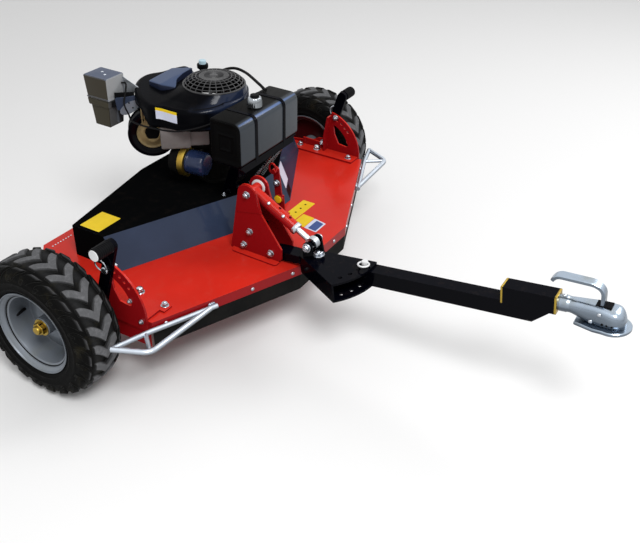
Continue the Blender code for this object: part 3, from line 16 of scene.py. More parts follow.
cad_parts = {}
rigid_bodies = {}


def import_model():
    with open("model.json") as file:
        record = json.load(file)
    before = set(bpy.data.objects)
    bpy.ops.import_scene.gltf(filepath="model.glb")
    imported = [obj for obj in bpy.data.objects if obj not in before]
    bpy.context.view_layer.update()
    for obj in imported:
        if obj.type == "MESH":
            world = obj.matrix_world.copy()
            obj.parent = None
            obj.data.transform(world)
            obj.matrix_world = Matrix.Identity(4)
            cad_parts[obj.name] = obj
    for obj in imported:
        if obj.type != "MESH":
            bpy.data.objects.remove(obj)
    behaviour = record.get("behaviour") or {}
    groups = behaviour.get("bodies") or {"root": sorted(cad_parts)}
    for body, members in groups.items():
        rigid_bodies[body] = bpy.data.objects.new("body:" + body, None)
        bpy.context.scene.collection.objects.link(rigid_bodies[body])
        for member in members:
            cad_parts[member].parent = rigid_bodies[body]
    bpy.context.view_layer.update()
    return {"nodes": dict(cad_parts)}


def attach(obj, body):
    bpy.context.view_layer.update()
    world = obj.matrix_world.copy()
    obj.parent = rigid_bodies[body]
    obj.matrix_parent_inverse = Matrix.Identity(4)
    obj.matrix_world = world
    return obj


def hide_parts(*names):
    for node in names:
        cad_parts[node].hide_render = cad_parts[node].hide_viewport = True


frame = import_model()
HOME = np.array((0.0, 0.5187, 0.0))  # sizes below are measured from the wheel axles; this moves them to their place

# %% [markdown]
# ## Camera
# The photograph was taken from the front right, about 34 degrees above the ground. The angles and the distance were
# solved from points that are known on both the machine and the picture, and the small roll was solved with them.

# %% Camera
PHOTO_WIDTH, FOCAL_PIXELS, SENSOR_WIDTH = 640, 816.77, 36  # pixels, pixels, millimetres
LOOK_AT, DISTANCE = (0, -0.434, 0.134), 2.542
AZIMUTH, ELEVATION, ROLL = (math.radians(a) for a in (-60.017, 33.897, 1.545))
back = Vector((math.sin(AZIMUTH) * math.cos(ELEVATION), -math.cos(AZIMUTH) * math.cos(ELEVATION),
               math.sin(ELEVATION)))
level = Vector((math.cos(AZIMUTH), math.sin(AZIMUTH), 0))
upward = back.cross(level)
across = math.cos(ROLL) * level + math.sin(ROLL) * upward
above = math.cos(ROLL) * upward - math.sin(ROLL) * level
eye = Vector(LOOK_AT) + Vector(HOME) + DISTANCE * back
camera = bpy.data.objects.new("camera", bpy.data.cameras.new("camera"))
camera.data.sensor_width = SENSOR_WIDTH
camera.data.lens = FOCAL_PIXELS / PHOTO_WIDTH * SENSOR_WIDTH
camera.matrix_world = Matrix((across, above, back)).transposed().to_4x4()
camera.location = eye
bpy.context.scene.collection.objects.link(camera)
bpy.context.scene.camera = camera
print("camera at", [round(v, 3) for v in eye], "lens", round(camera.data.lens, 2))

# %% [markdown]
# ## Shapes as arrays
# Every new surface is a grid of points, worked out as one array. Rows and columns are joined by four-sided faces. A
# patch is such an array of points with its faces, and several patches make one piece.


# %% Patches
def grid(points, close_rows=False, close_columns=False):
    """The patch of a (rows, columns, 3) array: a face between each four neighbours, closed where asked."""
    rows, columns = points.shape[:2]
    index = np.arange(rows * columns).reshape(rows, columns)
    if close_rows:
        index = np.vstack([index, index[:1]])
    if close_columns:
        index = np.hstack([index, index[:, :1]])
    faces = np.stack([index[:-1, :-1], index[:-1, 1:], index[1:, 1:], index[1:, :-1]], -1)
    return points.reshape(-1, 3), faces.reshape(-1, 4)


def join(*patches):
    """One patch of several: the faces of each count on from the points before it."""
    starts = np.cumsum([0] + [len(points) for points, _ in patches[:-1]])
    return (np.vstack([points for points, _ in patches]),
            np.vstack([faces + start for (_, faces), start in zip(patches, starts)]))


def repeat(patch, places):
    """Copies of a patch, one for each 4x4 matrix in places (n, 4, 4): p' = M p."""
    points, faces = patch
    places = np.asarray(places, float)
    moved = np.einsum("nij,pj->npi", places[:, :3, :3], points) + places[:, None, :3, 3]
    steps = np.arange(len(places))[:, None, None] * len(points)
    return moved.reshape(-1, 3), (faces[None] + steps).reshape(-1, 4)


def around(count):
    """Angles at even steps round a full turn."""
    return np.arange(count) * 2 * np.pi / count


def unit(rows):
    """Each row at a length of one."""
    return rows / np.linalg.norm(rows, axis=1)[:, None]


AXES = {"X": [2, 0, 1], "Y": [1, 2, 0], "Z": [0, 1, 2]}


def turned(profile, sides=64, axis="Z", centre=(0, 0, 0)):
    """A profile of (radius, height) pairs spun about an axis: across = r cos a, r sin a, along = h."""
    radius, height = np.array(profile, float).T
    angle = around(sides)
    spun = np.stack([np.outer(radius, np.cos(angle)), np.outer(radius, np.sin(angle)),
                     np.repeat(height[:, None], sides, 1)], -1)
    return grid(spun[..., AXES[axis]] + np.array(centre, float), close_columns=True)


def smooth_profile(knots, steps=6):
    """More points on a smooth curve through the knots, by Catmull-Rom: each span blends four neighbours.

    q(t) = (2b + (c-a)t + (2a-5b+4c-d)t^2 + (3b-a-3c+d)t^3) / 2
    """
    p = np.array(knots, float)
    p = np.vstack([2 * p[0] - p[1], p, 2 * p[-1] - p[-2]])
    t = (np.arange(steps) / steps)[None, :, None]
    a, b, c, d = (p[i:len(p) - 3 + i, None] for i in range(4))
    curve = 0.5 * (2 * b + (c - a) * t + (2 * a - 5 * b + 4 * c - d) * t ** 2
                   + (3 * b - a - 3 * c + d) * t ** 3)
    return np.vstack([curve.reshape(-1, p.shape[1]), p[-2:-1]])


def tube(path, radius, sides=16, closed=False):
    """A circle carried along a path: p + r (cos a n + sin a b), with n and b square to the path at each point."""
    path = np.array(path, float)
    heading = unit(np.roll(path, -1, 0) - np.roll(path, 1, 0) if closed else np.gradient(path, axis=0))
    flattest = np.linalg.svd(heading)[2][-1]
    normal = unit(np.cross(heading, flattest))
    other = np.cross(heading, normal)
    angle = around(sides)
    radius = np.broadcast_to(radius, len(path))[:, None, None]
    ring = np.cos(angle)[None, :, None] * normal[:, None] + np.sin(angle)[None, :, None] * other[:, None]
    points = path[:, None] + radius * ring
    if closed:
        return grid(points, close_rows=True, close_columns=True)
    ends = [np.repeat(path[i][None, None], sides, 1) for i in (0, -1)]
    return grid(np.vstack([ends[0], points, ends[1]]), close_columns=True)


def bends(before, corners, after, radius, steps):
    """Each corner as a short curve: q(t) = p + r ((1-t)^2 u + t^2 v), with u and v the ways to its neighbours."""
    t = np.linspace(0, 1, steps)[None, :, None]
    ways = (1 - t) ** 2 * unit(before - corners)[:, None] + t ** 2 * unit(after - corners)[:, None]
    return (corners[:, None] + radius * ways).reshape(-1, corners.shape[1])


def rounded(corners, radius, steps=6):
    """A path whose inner corners are bent round."""
    p = np.array(corners, float)
    return np.vstack([p[:1], bends(p[:-2], p[1:-1], p[2:], radius, steps), p[-1:]])


def rounded_outline(corners, radii, steps=6):
    """A closed outline whose corners are bent round, each by its own radius."""
    p = np.array(corners, float)
    radii = np.broadcast_to(radii, len(p))[:, None, None]
    return bends(np.roll(p, 1, 0), p, np.roll(p, -1, 0), radii, steps)


def loft(outlines):
    """A skin over closed outlines of equal count (rows, columns, 3), its two ends drawn to their middles."""
    outlines = np.array(outlines, float)
    ends = [np.repeat(outlines[i].mean(0)[None, None], outlines.shape[1], 1) for i in (0, -1)]
    return grid(np.vstack([ends[0], outlines, ends[1]]), close_columns=True)


def slab(outline, low, high, axis="Z", edge=0.0):
    """A plate: the outline at both levels, with its edges drawn in by the given amount towards the middle."""
    flat = np.array(outline, float)
    middle = flat.mean(0)
    reach = np.linalg.norm(flat - middle, axis=1)[:, None]
    inner = middle + (flat - middle) * (1 - edge / reach)
    levels = [(inner, low), (flat, low + edge), (flat, high - edge), (inner, high)] if edge else [(flat, low),
                                                                                                  (flat, high)]
    rings = [np.column_stack([shape, np.full(len(shape), level)])[:, AXES[axis]] for shape, level in levels]
    return loft(rings)


def box(low, high, edge=0.001):
    """A block between two corners with drawn-in edges."""
    (x0, y0, z0), (x1, y1, z1) = low, high
    return slab([(x0, y0), (x1, y0), (x1, y1), (x0, y1)], z0, z1, "Z", edge)


def placed(patch, matrix):
    """The patch moved by a matrix."""
    return repeat(patch, [np.array(matrix)])


def aim(start, direction, turn=0.0):
    """The matrix that stands a shape built up along +Z on a start point, heading in a direction."""
    swing = Vector((0, 0, 1)).rotation_difference(Vector(direction)).to_matrix().to_4x4()
    return Matrix.Translation(Vector(start)) @ swing @ Matrix.Rotation(turn, 4, "Z")


# %% Putting a patch into a mesh
MERGE_WITHIN = 2e-6
made = []   # names of the pieces, in order


def piece(name, patch, finish, body, stands_for=(), angle=40, bevel=0.0):
    """Fills a mesh with the patch, closes it, points its faces outwards and lets it ride on its body."""
    points, faces = patch
    mesh = bpy.data.meshes.new(name)
    mesh.from_pydata((points + HOME).tolist(), [], faces.tolist())
    bm = bmesh.new()
    bm.from_mesh(mesh)
    bmesh.ops.remove_doubles(bm, verts=bm.verts, dist=MERGE_WITHIN)
    bmesh.ops.recalc_face_normals(bm, faces=bm.faces)
    bm.to_mesh(mesh)
    bm.free()
    thing = bpy.data.objects.new(name, mesh)
    bpy.context.scene.collection.objects.link(thing)
    if bevel:
        edge = thing.modifiers.new("edges", "BEVEL")
        edge.width = bevel
        edge.segments = 2
        edge.limit_method = "ANGLE"
        edge.angle_limit = math.radians(30)
    mesh.shade_smooth()
    mesh.set_sharp_from_angle(angle=math.radians(angle))
    mesh.materials.append(finish)
    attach(thing, body)
    if stands_for:
        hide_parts(*([stands_for] if isinstance(stands_for, str) else stands_for))
    made.append(name)
    return thing


# %% [markdown]
# ## Shader maths
# Finishes are written as sums. A Shade wraps one socket, and each operator adds the Math node that works it out, so 1
# - mask * 0.4 reads as it looks. Every other node comes from the one method of Finish.


# %% Shade and Finish
class Shade:
    """A value in a node tree that takes part in Python expressions."""

    def __init__(self, finish, socket):
        self.finish = finish
        self.socket = socket

    def maths(self, operation, *others):
        """Adds a Math node that works on this value and the others."""
        return self.finish.node("ShaderNodeMath", {"operation": operation}, [self, *others])

    def __add__(self, other):
        return self.maths("ADD", other)

    def __sub__(self, other):
        return self.maths("SUBTRACT", other)

    def __mul__(self, other):
        return self.maths("MULTIPLY", other)

    def __rsub__(self, other):
        return self.finish.node("ShaderNodeMath", {"operation": "SUBTRACT"}, [other, self])

    def __neg__(self):
        return self * -1

    def __abs__(self):
        return self.maths("ABSOLUTE")

    __radd__ = __add__
    __rmul__ = __mul__

    def step(self, low, high):
        """0 below low, 1 above high, and a soft ramp between."""
        return self.finish.node("ShaderNodeMapRange", {"interpolation_type": "SMOOTHSTEP"},
                                [self, low, high, 0.0, 1.0])


class Finish:
    """A material, with one method that makes its nodes."""

    def __init__(self, name, slot):
        self.material = bpy.data.materials.new(name)
        self.material.use_nodes = True
        self.tree = self.material.node_tree
        self.shader = self.tree.nodes["Principled BSDF"]
        coords = self.node("ShaderNodeTexCoord", output="Object")
        self.place = self.vector("SUBTRACT", coords, tuple(HOME))

    def node(self, kind, settings=None, inputs=(), output=0):
        """Adds a node: its settings first, then the values or links of its sockets."""
        node = self.tree.nodes.new(kind)
        for key, value in (settings or {}).items():
            setattr(node, key, value)
        pairs = inputs.items() if isinstance(inputs, dict) else enumerate(inputs)
        for key, value in pairs:
            self.put(node.inputs[key], value)
        return Shade(self, node.outputs[output])

    def put(self, socket, value):
        """Links a Shade to a socket, or sets a plain value on it."""
        if isinstance(value, Shade):
            self.tree.links.new(value.socket, socket)
        elif value is not None:
            colour = socket.type == "RGBA" and len(value) == 3
            socket.default_value = (*value, 1.0) if colour else value

    def vector(self, operation, *vectors):
        """Vector Math on places or directions."""
        return self.node("ShaderNodeVectorMath", {"operation": operation}, list(vectors))

    def mix(self, first, second, share):
        """One colour blended into another."""
        sockets = {0: share, 6: first, 7: second}
        return self.node("ShaderNodeMix", {"data_type": "RGBA"}, sockets, output=2)

    def noise(self, scale, detail=3.0, rough=0.5):
        """Clouds from 0 to 1 over the place; a larger scale makes them smaller."""
        sockets = {"Vector": self.place, "Scale": scale, "Detail": detail, "Roughness": rough}
        return self.node("ShaderNodeTexNoise", None, sockets)

    def facing(self, name):
        """One part of the surface's own direction, before any bump."""
        return self.node("ShaderNodeSeparateXYZ", None, [self.node("ShaderNodeNewGeometry", output="Normal")],
                         output=name)

    def edges(self, radius=0.002):
        """1 on outer edges, for wear and painted highlights, 0 on flat ground: how far the bevelled normal leans from
        the true one.
        """
        soft = self.node("ShaderNodeBevel", {"samples": 4}, [radius])
        hard = self.node("ShaderNodeNewGeometry", output="Normal")
        lean = self.node("ShaderNodeVectorMath", {"operation": "DOT_PRODUCT"}, [soft, hard], output="Value")
        return (1 - lean).step(0.03, 0.3)

    def bump(self, height, distance, strength=1.0):
        """A normal bent by a height, in metres where the height runs from 0 to 1."""
        sockets = {"Strength": strength, "Distance": distance, "Height": height}
        return self.node("ShaderNodeBump", None, sockets)

    def set(self, **sockets):
        """Fills the shader's own sockets and hands back the material."""
        for name, value in sockets.items():
            self.put(self.shader.inputs[name.replace("_", " ")], value)
        return self.material


print("shader helpers ready")

# %% [markdown]
# ## Paint
# The deck, the brackets and the tower are powder coated. Such paint is even in colour, with a fine orange peel, a
# thin clear gloss and a little dust that lies on level faces. Edges catch the light first and wear through first, so
# a mask of the edges lightens the colour a little, part wear and part painted highlight, and roughens it. Upright
# faces can take a painted shade, faces that lean forwards a painted reflection, and rounds a painted highlight.


# %% Painted sheet
def paint(name, slot, colour, painted_shade=None, painted_reflection=None, painted_highlight=None, dust=0.25, gloss=0.28, edge_wear_and_highlight=(0.55, 0.5, 0.48),
          specular=0.1):
    """Powder coat. Upright faces take a painted shade, faces that lean forwards a painted reflection, and rounds
    between them a painted highlight.

    lean = n.d, the face's direction against (0.10, -0.80, 0.50): a level face gives 0.50 and an upright front 0.80.
    """
    f = Finish(name, slot)
    cloudy = f.noise(5.0, 4.0).step(0.35, 0.7)
    base = f.mix(tuple(c * 0.88 for c in colour), colour, cloudy)
    level = f.facing("Z").step(0.15, 0.9)
    # Upright faces are painted darker: a painted shade.
    if painted_shade:
        base = f.mix(painted_shade, base, level)
    coat = 0.12
    # Faces that lean forwards take a painted reflection of the sky.
    if painted_reflection:
        lean = (f.facing("X") * 0.10 - f.facing("Y") * 0.80 + f.facing("Z") * 0.50).step(0.52, 0.84)
        base = f.mix(base, painted_reflection, lean * (0.75 + cloudy * 0.25))
        coat = lean * 0.35
    # Rounds between the top and the front take a painted highlight.
    if painted_highlight:
        ridge = (f.facing("Z") * 0.78 - f.facing("Y") * 0.62).step(0.955, 0.998)
        base = f.mix(base, painted_highlight, ridge * 0.85)
    grime = f.noise(38.0, 5.0, rough=0.7).step(0.48, 0.78)
    base = f.mix(base, (0.30, 0.20, 0.14), grime * level * dust * 0.25)
    # Edges are lightened: part wear, part painted highlight.
    edge = f.edges(0.0016) * f.noise(160.0, 2.0).step(0.5, 0.62)
    base = f.mix(base, edge_wear_and_highlight, edge * 0.4)
    peel = f.noise(420.0, 2.0)
    rough = gloss + grime * 0.12 + cloudy * 0.05 + edge * 0.2
    return f.set(Base_Color=base, Roughness=rough, Coat_Weight=coat, Coat_Roughness=0.12,
                 Specular_IOR_Level=specular, Normal=f.bump(peel, 0.00006))


# Red powder coat, with a painted shade on upright faces and pale red edges that are part wear, part painted highlight.
RED = paint("red powder coat", "red_paint", (0.62, 0.022, 0.012), (0.24, 0.004, 0.006), edge_wear_and_highlight=(0.85, 0.14, 0.10),
            specular=0.08)
# Black powder coat, with a painted shade on upright faces.
DARK = paint("black powder coat", "black_paint", (0.0010, 0.0014, 0.0040), (0.0008, 0.0009, 0.0022), dust=0.1,
             edge_wear_and_highlight=(0.05, 0.05, 0.06), specular=0.0)
# Black cover paint, with a slate-blue painted reflection on faces that lean forwards.
COVER = paint("black cover paint", "black_paint", (0.0028, 0.0030, 0.0033), None, (0.030, 0.046, 0.088), dust=0.05,
              edge_wear_and_highlight=(0.08, 0.08, 0.10), specular=0.0)
# Black cowl paint, with a dark blue painted reflection on faces that lean forwards.
COWL = paint("black cowl paint", "black_plastic", (0.0024, 0.0026, 0.0036), None, (0.014, 0.022, 0.050), None, 0.03,
             0.22, (0.06, 0.07, 0.10), 0.02)
# Slate lid paint, with a painted shade on upright faces and pale edges that are part wear, part painted highlight.
LID = paint("slate lid paint", "black_plastic", (0.045, 0.070, 0.140), (0.010, 0.014, 0.032), None, None, 0.05, 0.3,
            (0.45, 0.50, 0.62), 0.1)
# Tank plastic, with a painted shade on upright faces, a painted reflection on faces that lean forwards and a blue
# painted highlight along the front round.
TANK = paint("tank plastic", "black_plastic", (0.0046, 0.0046, 0.0046), (0.0022, 0.0022, 0.0024),
             (0.040, 0.048, 0.058),
             (0.10, 0.16, 0.33), 0.05, 0.36, (0.10, 0.11, 0.13), 0.02)
print("paints:", RED.name, DARK.name, COVER.name, COWL.name, LID.name, TANK.name)

# %% [markdown]
# ## Bare and plated metal
# Bolts, pins, the guards and the coupler are zinc plated. The plating is bright but cloudy, with a faint spangle of
# crystals, and some of it is passivated, which leaves a straw yellow tint. Turned parts show fine rings.


# %% Plated metal
def plated(name, slot, colour=(0.60, 0.64, 0.70), tint=(0.60, 0.52, 0.33), share=0.15, rough=0.24, spangle=60.0,
           under=0.22, metal=1.0, turn=(-0.35, 0.75)):
    """Zinc: crystals from a Voronoi pattern change the gloss, and straw clouds lie over it.

    Faces turned down or aside keep only a share of the colour, for what they mirror out of doors is the ground.
    """
    f = Finish(name, slot)
    crystals = f.node("ShaderNodeTexVoronoi", None, {"Vector": f.place, "Scale": spangle}, output="Color")
    flake = f.node("ShaderNodeSeparateColor", None, [crystals])
    clouds = f.noise(22.0, 4.0).step(0.45, 0.75)
    base = f.mix(colour, tint, clouds * share)
    base = f.mix(base, (0.30, 0.29, 0.27), f.noise(90.0, 5.0, rough=0.75).step(0.56, 0.8) * 0.35)
    sky = (f.facing("Z") * 0.8 - f.facing("X") * 0.25).step(*turn)
    base = f.mix(tuple(c * under for c in colour), base, sky)
    gloss = rough + flake * 0.10 + clouds * 0.08
    return f.set(Base_Color=base, Metallic=metal, Roughness=gloss, Normal=f.bump(f.noise(300.0, 3.0), 0.0001))


ZINC = plated("zinc plate", "zinc")
GALVANISED = plated("galvanised tube", "zinc", (0.60, 0.66, 0.74), share=0.05, rough=0.30, spangle=90.0, under=0.22)
COUPLER_ZINC = plated("bright coupler zinc", "zinc", (0.42, 0.50, 0.60), (0.30, 0.31, 0.26), 0.5, 0.20, 50.0, 0.20,
                      1.0, (0.02, 0.80))
YELLOW_ZINC = plated("yellow zinc", "zinc", (0.52, 0.36, 0.06), (0.40, 0.24, 0.05), 0.6, 0.34, under=0.35)
STEEL = plated("dark steel", "dark_steel", (0.16, 0.165, 0.175), (0.20, 0.13, 0.08), 0.4, 0.42, 200.0, 0.5)
RIM = plated("silver rim paint", "rim_silver", (0.21, 0.235, 0.27), (0.19, 0.20, 0.18), 0.4, 0.40, 400.0, 0.55, 0.4)
print("metals:", ZINC.name, GALVANISED.name, YELLOW_ZINC.name, STEEL.name, RIM.name)

# %% [markdown]
# ## Castings, plastics and rubber
# The crankcase is sand cast with a coarse grain, and near-black as a painted shade for the dark under the engine.
# Moulded plastics have a fine spark-eroded grain. Tyre rubber is dull, greyer where it rubs, and holds tan dust low in
# its grooves.


# %% Castings and plastics
def grained(name, slot, colour, other, rough=0.5, grain=900.0, depth=0.0001, metal=0.0, specular=0.4):
    """A moulded or cast skin: two close colours in clouds, painted highlights on its edges, and a fine grain in the
    bump.
    """
    f = Finish(name, slot)
    clouds = f.noise(14.0, 5.0, rough=0.65).step(0.35, 0.7)
    base = f.mix(colour, other, clouds)
    # Edges are painted lighter: a painted highlight.
    edge = f.edges(0.0015)
    base = f.mix(base, tuple(min(1, c * 1.8 + 0.02) for c in colour), edge * 0.4)
    skin = f.noise(grain, 3.0, rough=0.6)
    return f.set(Base_Color=base, Metallic=metal, Roughness=rough + clouds * 0.12 - edge * 0.1,
                 Specular_IOR_Level=specular, Normal=f.bump(skin, depth))


CAST = grained("cast alloy", "cast_alloy", (0.30, 0.22, 0.10), (0.13, 0.10, 0.055), 0.48, 260.0, 0.0004, 0.3, 0.3)
# The crankcase is near-black: a painted shade for the dark under the engine.
SHADE_BLACK = grained("crankcase painted shade", "cast_alloy", (0.0035, 0.0035, 0.0036), (0.007, 0.0065, 0.006), 0.55,
                     240.0,
                     0.0004, 0.0, 0.03)
GREY_CAST = grained("grey cast cover", "cast_alloy", (0.190, 0.176, 0.172), (0.150, 0.139, 0.136), 0.5, 300.0, 0.0002,
                    0.0, 0.1)
PLASTIC = grained("black plastic", "black_plastic", (0.0035, 0.0036, 0.0042), (0.006, 0.0062, 0.007), 0.42, 1200.0,
                  0.00004, 0.0, 0.03)
# The screen is lighter than the other black plastics: a painted highlight for its pale ribs.
SCREEN = grained("screen plastic", "black_plastic", (0.030, 0.030, 0.032), (0.060, 0.060, 0.062), 0.34, 900.0,
                 0.00004, 0.0, 0.3)
GREY = grained("grey plastic", "grey_plastic", (0.10, 0.11, 0.13), (0.14, 0.15, 0.17), 0.4, 1100.0, 0.00004, 0.0, 0.2)
FILTER = grained("blue filter paint", "filter_blue", (0.016, 0.030, 0.085), (0.010, 0.019, 0.056), 0.20, 500.0,
                 0.00003,
                 0.0, 0.4)
HOSE = grained("hose rubber", "rubber", (0.005, 0.005, 0.0055), (0.009, 0.009, 0.0095), 0.5, 700.0, 0.0001, 0.0, 0.06)
SKIRT = grained("skirt rubber", "rubber", (0.006, 0.006, 0.006), (0.011, 0.0105, 0.010), 0.62, 240.0, 0.0003, 0.0,
                0.03)
BELT = grained("belt rubber", "rubber", (0.012, 0.012, 0.013), (0.022, 0.020, 0.019), 0.7, 500.0, 0.0002, 0.0, 0.1)
print("ten moulded and cast finishes")

# %% Tyre rubber
WHEEL_TRACK = 0.686
AXLE_HEIGHT = 0.203


def tyre_rubber():
    """Dull rubber. The distance to the axle parts the clean grey tops of the lugs from black walls and grooves."""
    f = Finish("tyre rubber", "tyre")
    flat = f.vector("MULTIPLY", f.vector("SUBTRACT", f.place, (0, 0, AXLE_HEIGHT)), (0, 1, 1))
    reach = f.node("ShaderNodeVectorMath", {"operation": "LENGTH"}, [flat], output="Value")
    aside = abs(f.facing("X")).step(0.35, 0.8)
    top = reach.step(0.1925, 0.1995) * (1 - aside * 0.7)
    scuffs = f.noise(70.0, 6.0, rough=0.75).step(0.42, 0.75)
    base = f.mix((0.0030, 0.0030, 0.0030), (0.150, 0.152, 0.160), top * (0.60 + scuffs * 0.40))
    dusty = f.noise(16.0, 5.0, rough=0.7).step(0.5, 0.8) * (1 - top) * reach.step(0.150, 0.185)
    base = f.mix(base, (0.10, 0.085, 0.045), dusty * 0.22)
    # Lug edges are painted lighter: a painted highlight.
    edge = f.edges(0.0022)
    base = f.mix(base, (0.085, 0.085, 0.08), edge * 0.55)
    skin = f.noise(500.0, 3.0, rough=0.6) + scuffs * 0.6
    return f.set(Base_Color=base, Roughness=0.56 + scuffs * 0.14 - edge * 0.1, Specular_IOR_Level=0.04,
                 Normal=f.bump(skin, 0.0003))


TYRE = tyre_rubber()

# %% [markdown]
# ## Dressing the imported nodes
# Most sheet and bar parts already have their true shape, so they keep it and only get their finish.

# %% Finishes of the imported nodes
DRESS = {
    RED: "deck_shell hitch_tower_left hitch_tower_right left_adjuster_bracket right_adjuster_bracket top_link_tube "
         "clutch_lever",
    COVER: "belt_cover blower_housing air_cleaner_cover",
    DARK: "drawbar_beam drawbar_tube hitch_tower_block left_wheel_arm right_wheel_arm tank_frame left_tank_strap "
          "right_tank_strap muffler_drum",
    ZINC: "coupler_body coupler_handle swing_pin left_height_pin right_height_pin top_link_rod fuel_cap",
    GALVANISED: "left_wheel_guard right_wheel_guard",
    STEEL: "centre_blade left_blade right_blade centre_blade_spindle left_blade_spindle right_blade_spindle crankshaft "
           "cooling_fan idler_arm idler_pulley",
    SHADE_BLACK: "engine_crankcase",
    CAST: "centre_spindle_housing left_spindle_housing right_spindle_housing muffler_end_plate",
    GREY_CAST: "engine_side_cover",
    PLASTIC: "blower_grille control_box_base oil_filler_cap",
    GREY: "control_box",
    TANK: "fuel_tank",
    FILTER: "oil_filter",
    HOSE: "fuel_hose throttle_cable",
    SKIRT: "front_rubber_skirt rear_rubber_skirt",
    BELT: "blade_belt drive_belt",
    RIM: "left_rim right_rim",
    TYRE: "left_tyre right_tyre",
}
for finish, names in DRESS.items():
    for name in names.split():
        mesh = frame["nodes"][name].data
        mesh.materials.clear()
        mesh.materials.append(finish)
print("dressed", sum(len(names.split()) for names in DRESS.values()), "nodes")

# %% [markdown]
# ## Throttle cable and fuel hose
# Both lines are free between their two ends, so each is drawn as a tube of its true thickness, and its length is
# printed. The route is a short list of given points. A Catmull-Rom curve runs through them, and a circle is carried
# along it. The points are the same as the part's own, so the line lies where its solid does.

# %% Free lines
CASE = np.array((0.030, 0.030))  # the middle of the crankcase, seen from above
ENGINE_TURN = math.radians(221)
ENGINE = Matrix.Translation((*CASE, 0)) @ Matrix.Rotation(ENGINE_TURN, 4, "Z")
CURVE_STEPS, LINE_RINGS, ROUTE_POINTS = 24, 120, 36


def round_case(radius, degrees, z):
    """A point round the crankcase: p = case + r (cos a, sin a)."""
    angle = math.radians(degrees)
    return (CASE[0] + radius * math.cos(angle), CASE[1] + radius * math.sin(angle), z)


def even_curve(knots, count):
    """Points at even steps of length on the smooth curve through the knots, and its length: the sum of its steps."""
    fine = smooth_profile(knots, CURVE_STEPS)
    run = np.append(0, np.cumsum(np.linalg.norm(np.diff(fine, axis=0), axis=1)))
    even = np.linspace(0, run[-1], count)
    return np.stack([np.interp(even, run, fine[:, i]) for i in range(3)], -1), run[-1]


def free_line(name, knots, radius):
    """A round line along the route, with its length printed."""
    path, length = even_curve(knots, LINE_RINGS)
    line = piece(name + "_line", tube(path, radius, 16), HOSE, "deck", name, angle=60)
    route = even_curve(knots, ROUTE_POINTS)[0]
    route = [tuple(point) for point in (route + HOME).tolist()]
    print(name, "is", round(length, 3), "m long")


free_line("throttle_cable", [
    (-0.082, 0.2325, 0.630), (-0.085, 0.213, 0.632), (-0.103, 0.200, 0.617), (-0.126, 0.189, 0.588),
    (-0.131, 0.172, 0.562), round_case(0.205, 152, 0.548), round_case(0.178, 190, 0.552),
    round_case(0.166, 215, 0.562), round_case(0.163, 240, 0.580), round_case(0.166, 262, 0.600),
    (0.040, -0.1472, 0.607)], 0.0026)
free_line("fuel_hose", [
    ENGINE @ Vector((-0.0834, -0.035, 0.505)), ENGINE @ Vector((-0.108, -0.035, 0.505)),
    round_case(0.150, 46, 0.515), round_case(0.170, 36, 0.555), round_case(0.172, 18, 0.605),
    round_case(0.168, -2, 0.634), round_case(0.165, -25, 0.640), (0.118, -0.135, 0.642),
    (0.104, -0.162, 0.6373), (0.098, -0.174, 0.6369)], 0.0045)

# %% [markdown]
# ## Tyres
# The tyres are all-terrain ones: broad chevrons along the middle of the tread, and curved blocks that run over the
# shoulder and down the side wall, half a step behind them. Each arm is one small patch: stations along a meridian of
# the tyre, and six points across, the outer two sunk in the carcass. The other arms are the same patch turned round.

# %% The carcass and its skin
TREAD = np.array([(0.2028, 0.000), (0.2026, 0.018), (0.2012, 0.036), (0.1965, 0.053), (0.1880, 0.0655),
                  (0.1740, 0.0722), (0.1600, 0.0734)])
LUG_HEIGHT, LUG_COUNT = 0.0100, 22
BOTH_SIDES = (("right", -1), ("left", 1))
SKIN = smooth_profile(TREAD, 4)
lean_of_skin = np.gradient(SKIN, axis=0)
OUTWARD = unit(np.column_stack([lean_of_skin[:, 1], -lean_of_skin[:, 0]]))
fade = np.linspace(1, 0.25, len(SKIN))[:, None]
CARCASS = SKIN - OUTWARD * LUG_HEIGHT * fade


def wheel_point(angle, radius, along, side):
    """A point of the wheel: the angle runs from the top towards the front of the machine, as the wheel rolls."""
    angle, radius, along = np.broadcast_arrays(angle, radius, along)
    return np.stack([side * (WHEEL_TRACK + along), -radius * np.sin(angle), AXLE_HEIGHT + radius * np.cos(angle)], -1)


CARCASS_SIDES = 144


def carcass(side):
    """The tyre without its lugs: tread, rounded shoulders, side walls with two fine ribs, and the bead."""
    wall = [(0.1600, 0.0712), (0.1560, 0.0726), (0.1520, 0.0714), (0.1400, 0.0700), (0.1360, 0.0712),
            (0.1320, 0.0692),
            (0.1240, 0.0640), (0.1210, 0.0590), (0.1130, 0.0545), (0.1064, 0.0520), (0.1064, 0.0400),
            (0.1160, 0.0420),
            (0.1500, 0.0600), (0.1750, 0.0560), (0.1830, 0.0300)]
    half = np.vstack([CARCASS[:-1], wall])
    ring = np.vstack([half, half[::-1] * (1, -1)])
    angle = around(CARCASS_SIDES)
    points = wheel_point(angle[None], ring[:, :1], ring[:, 1:], side)
    return grid(points, close_rows=True, close_columns=True)


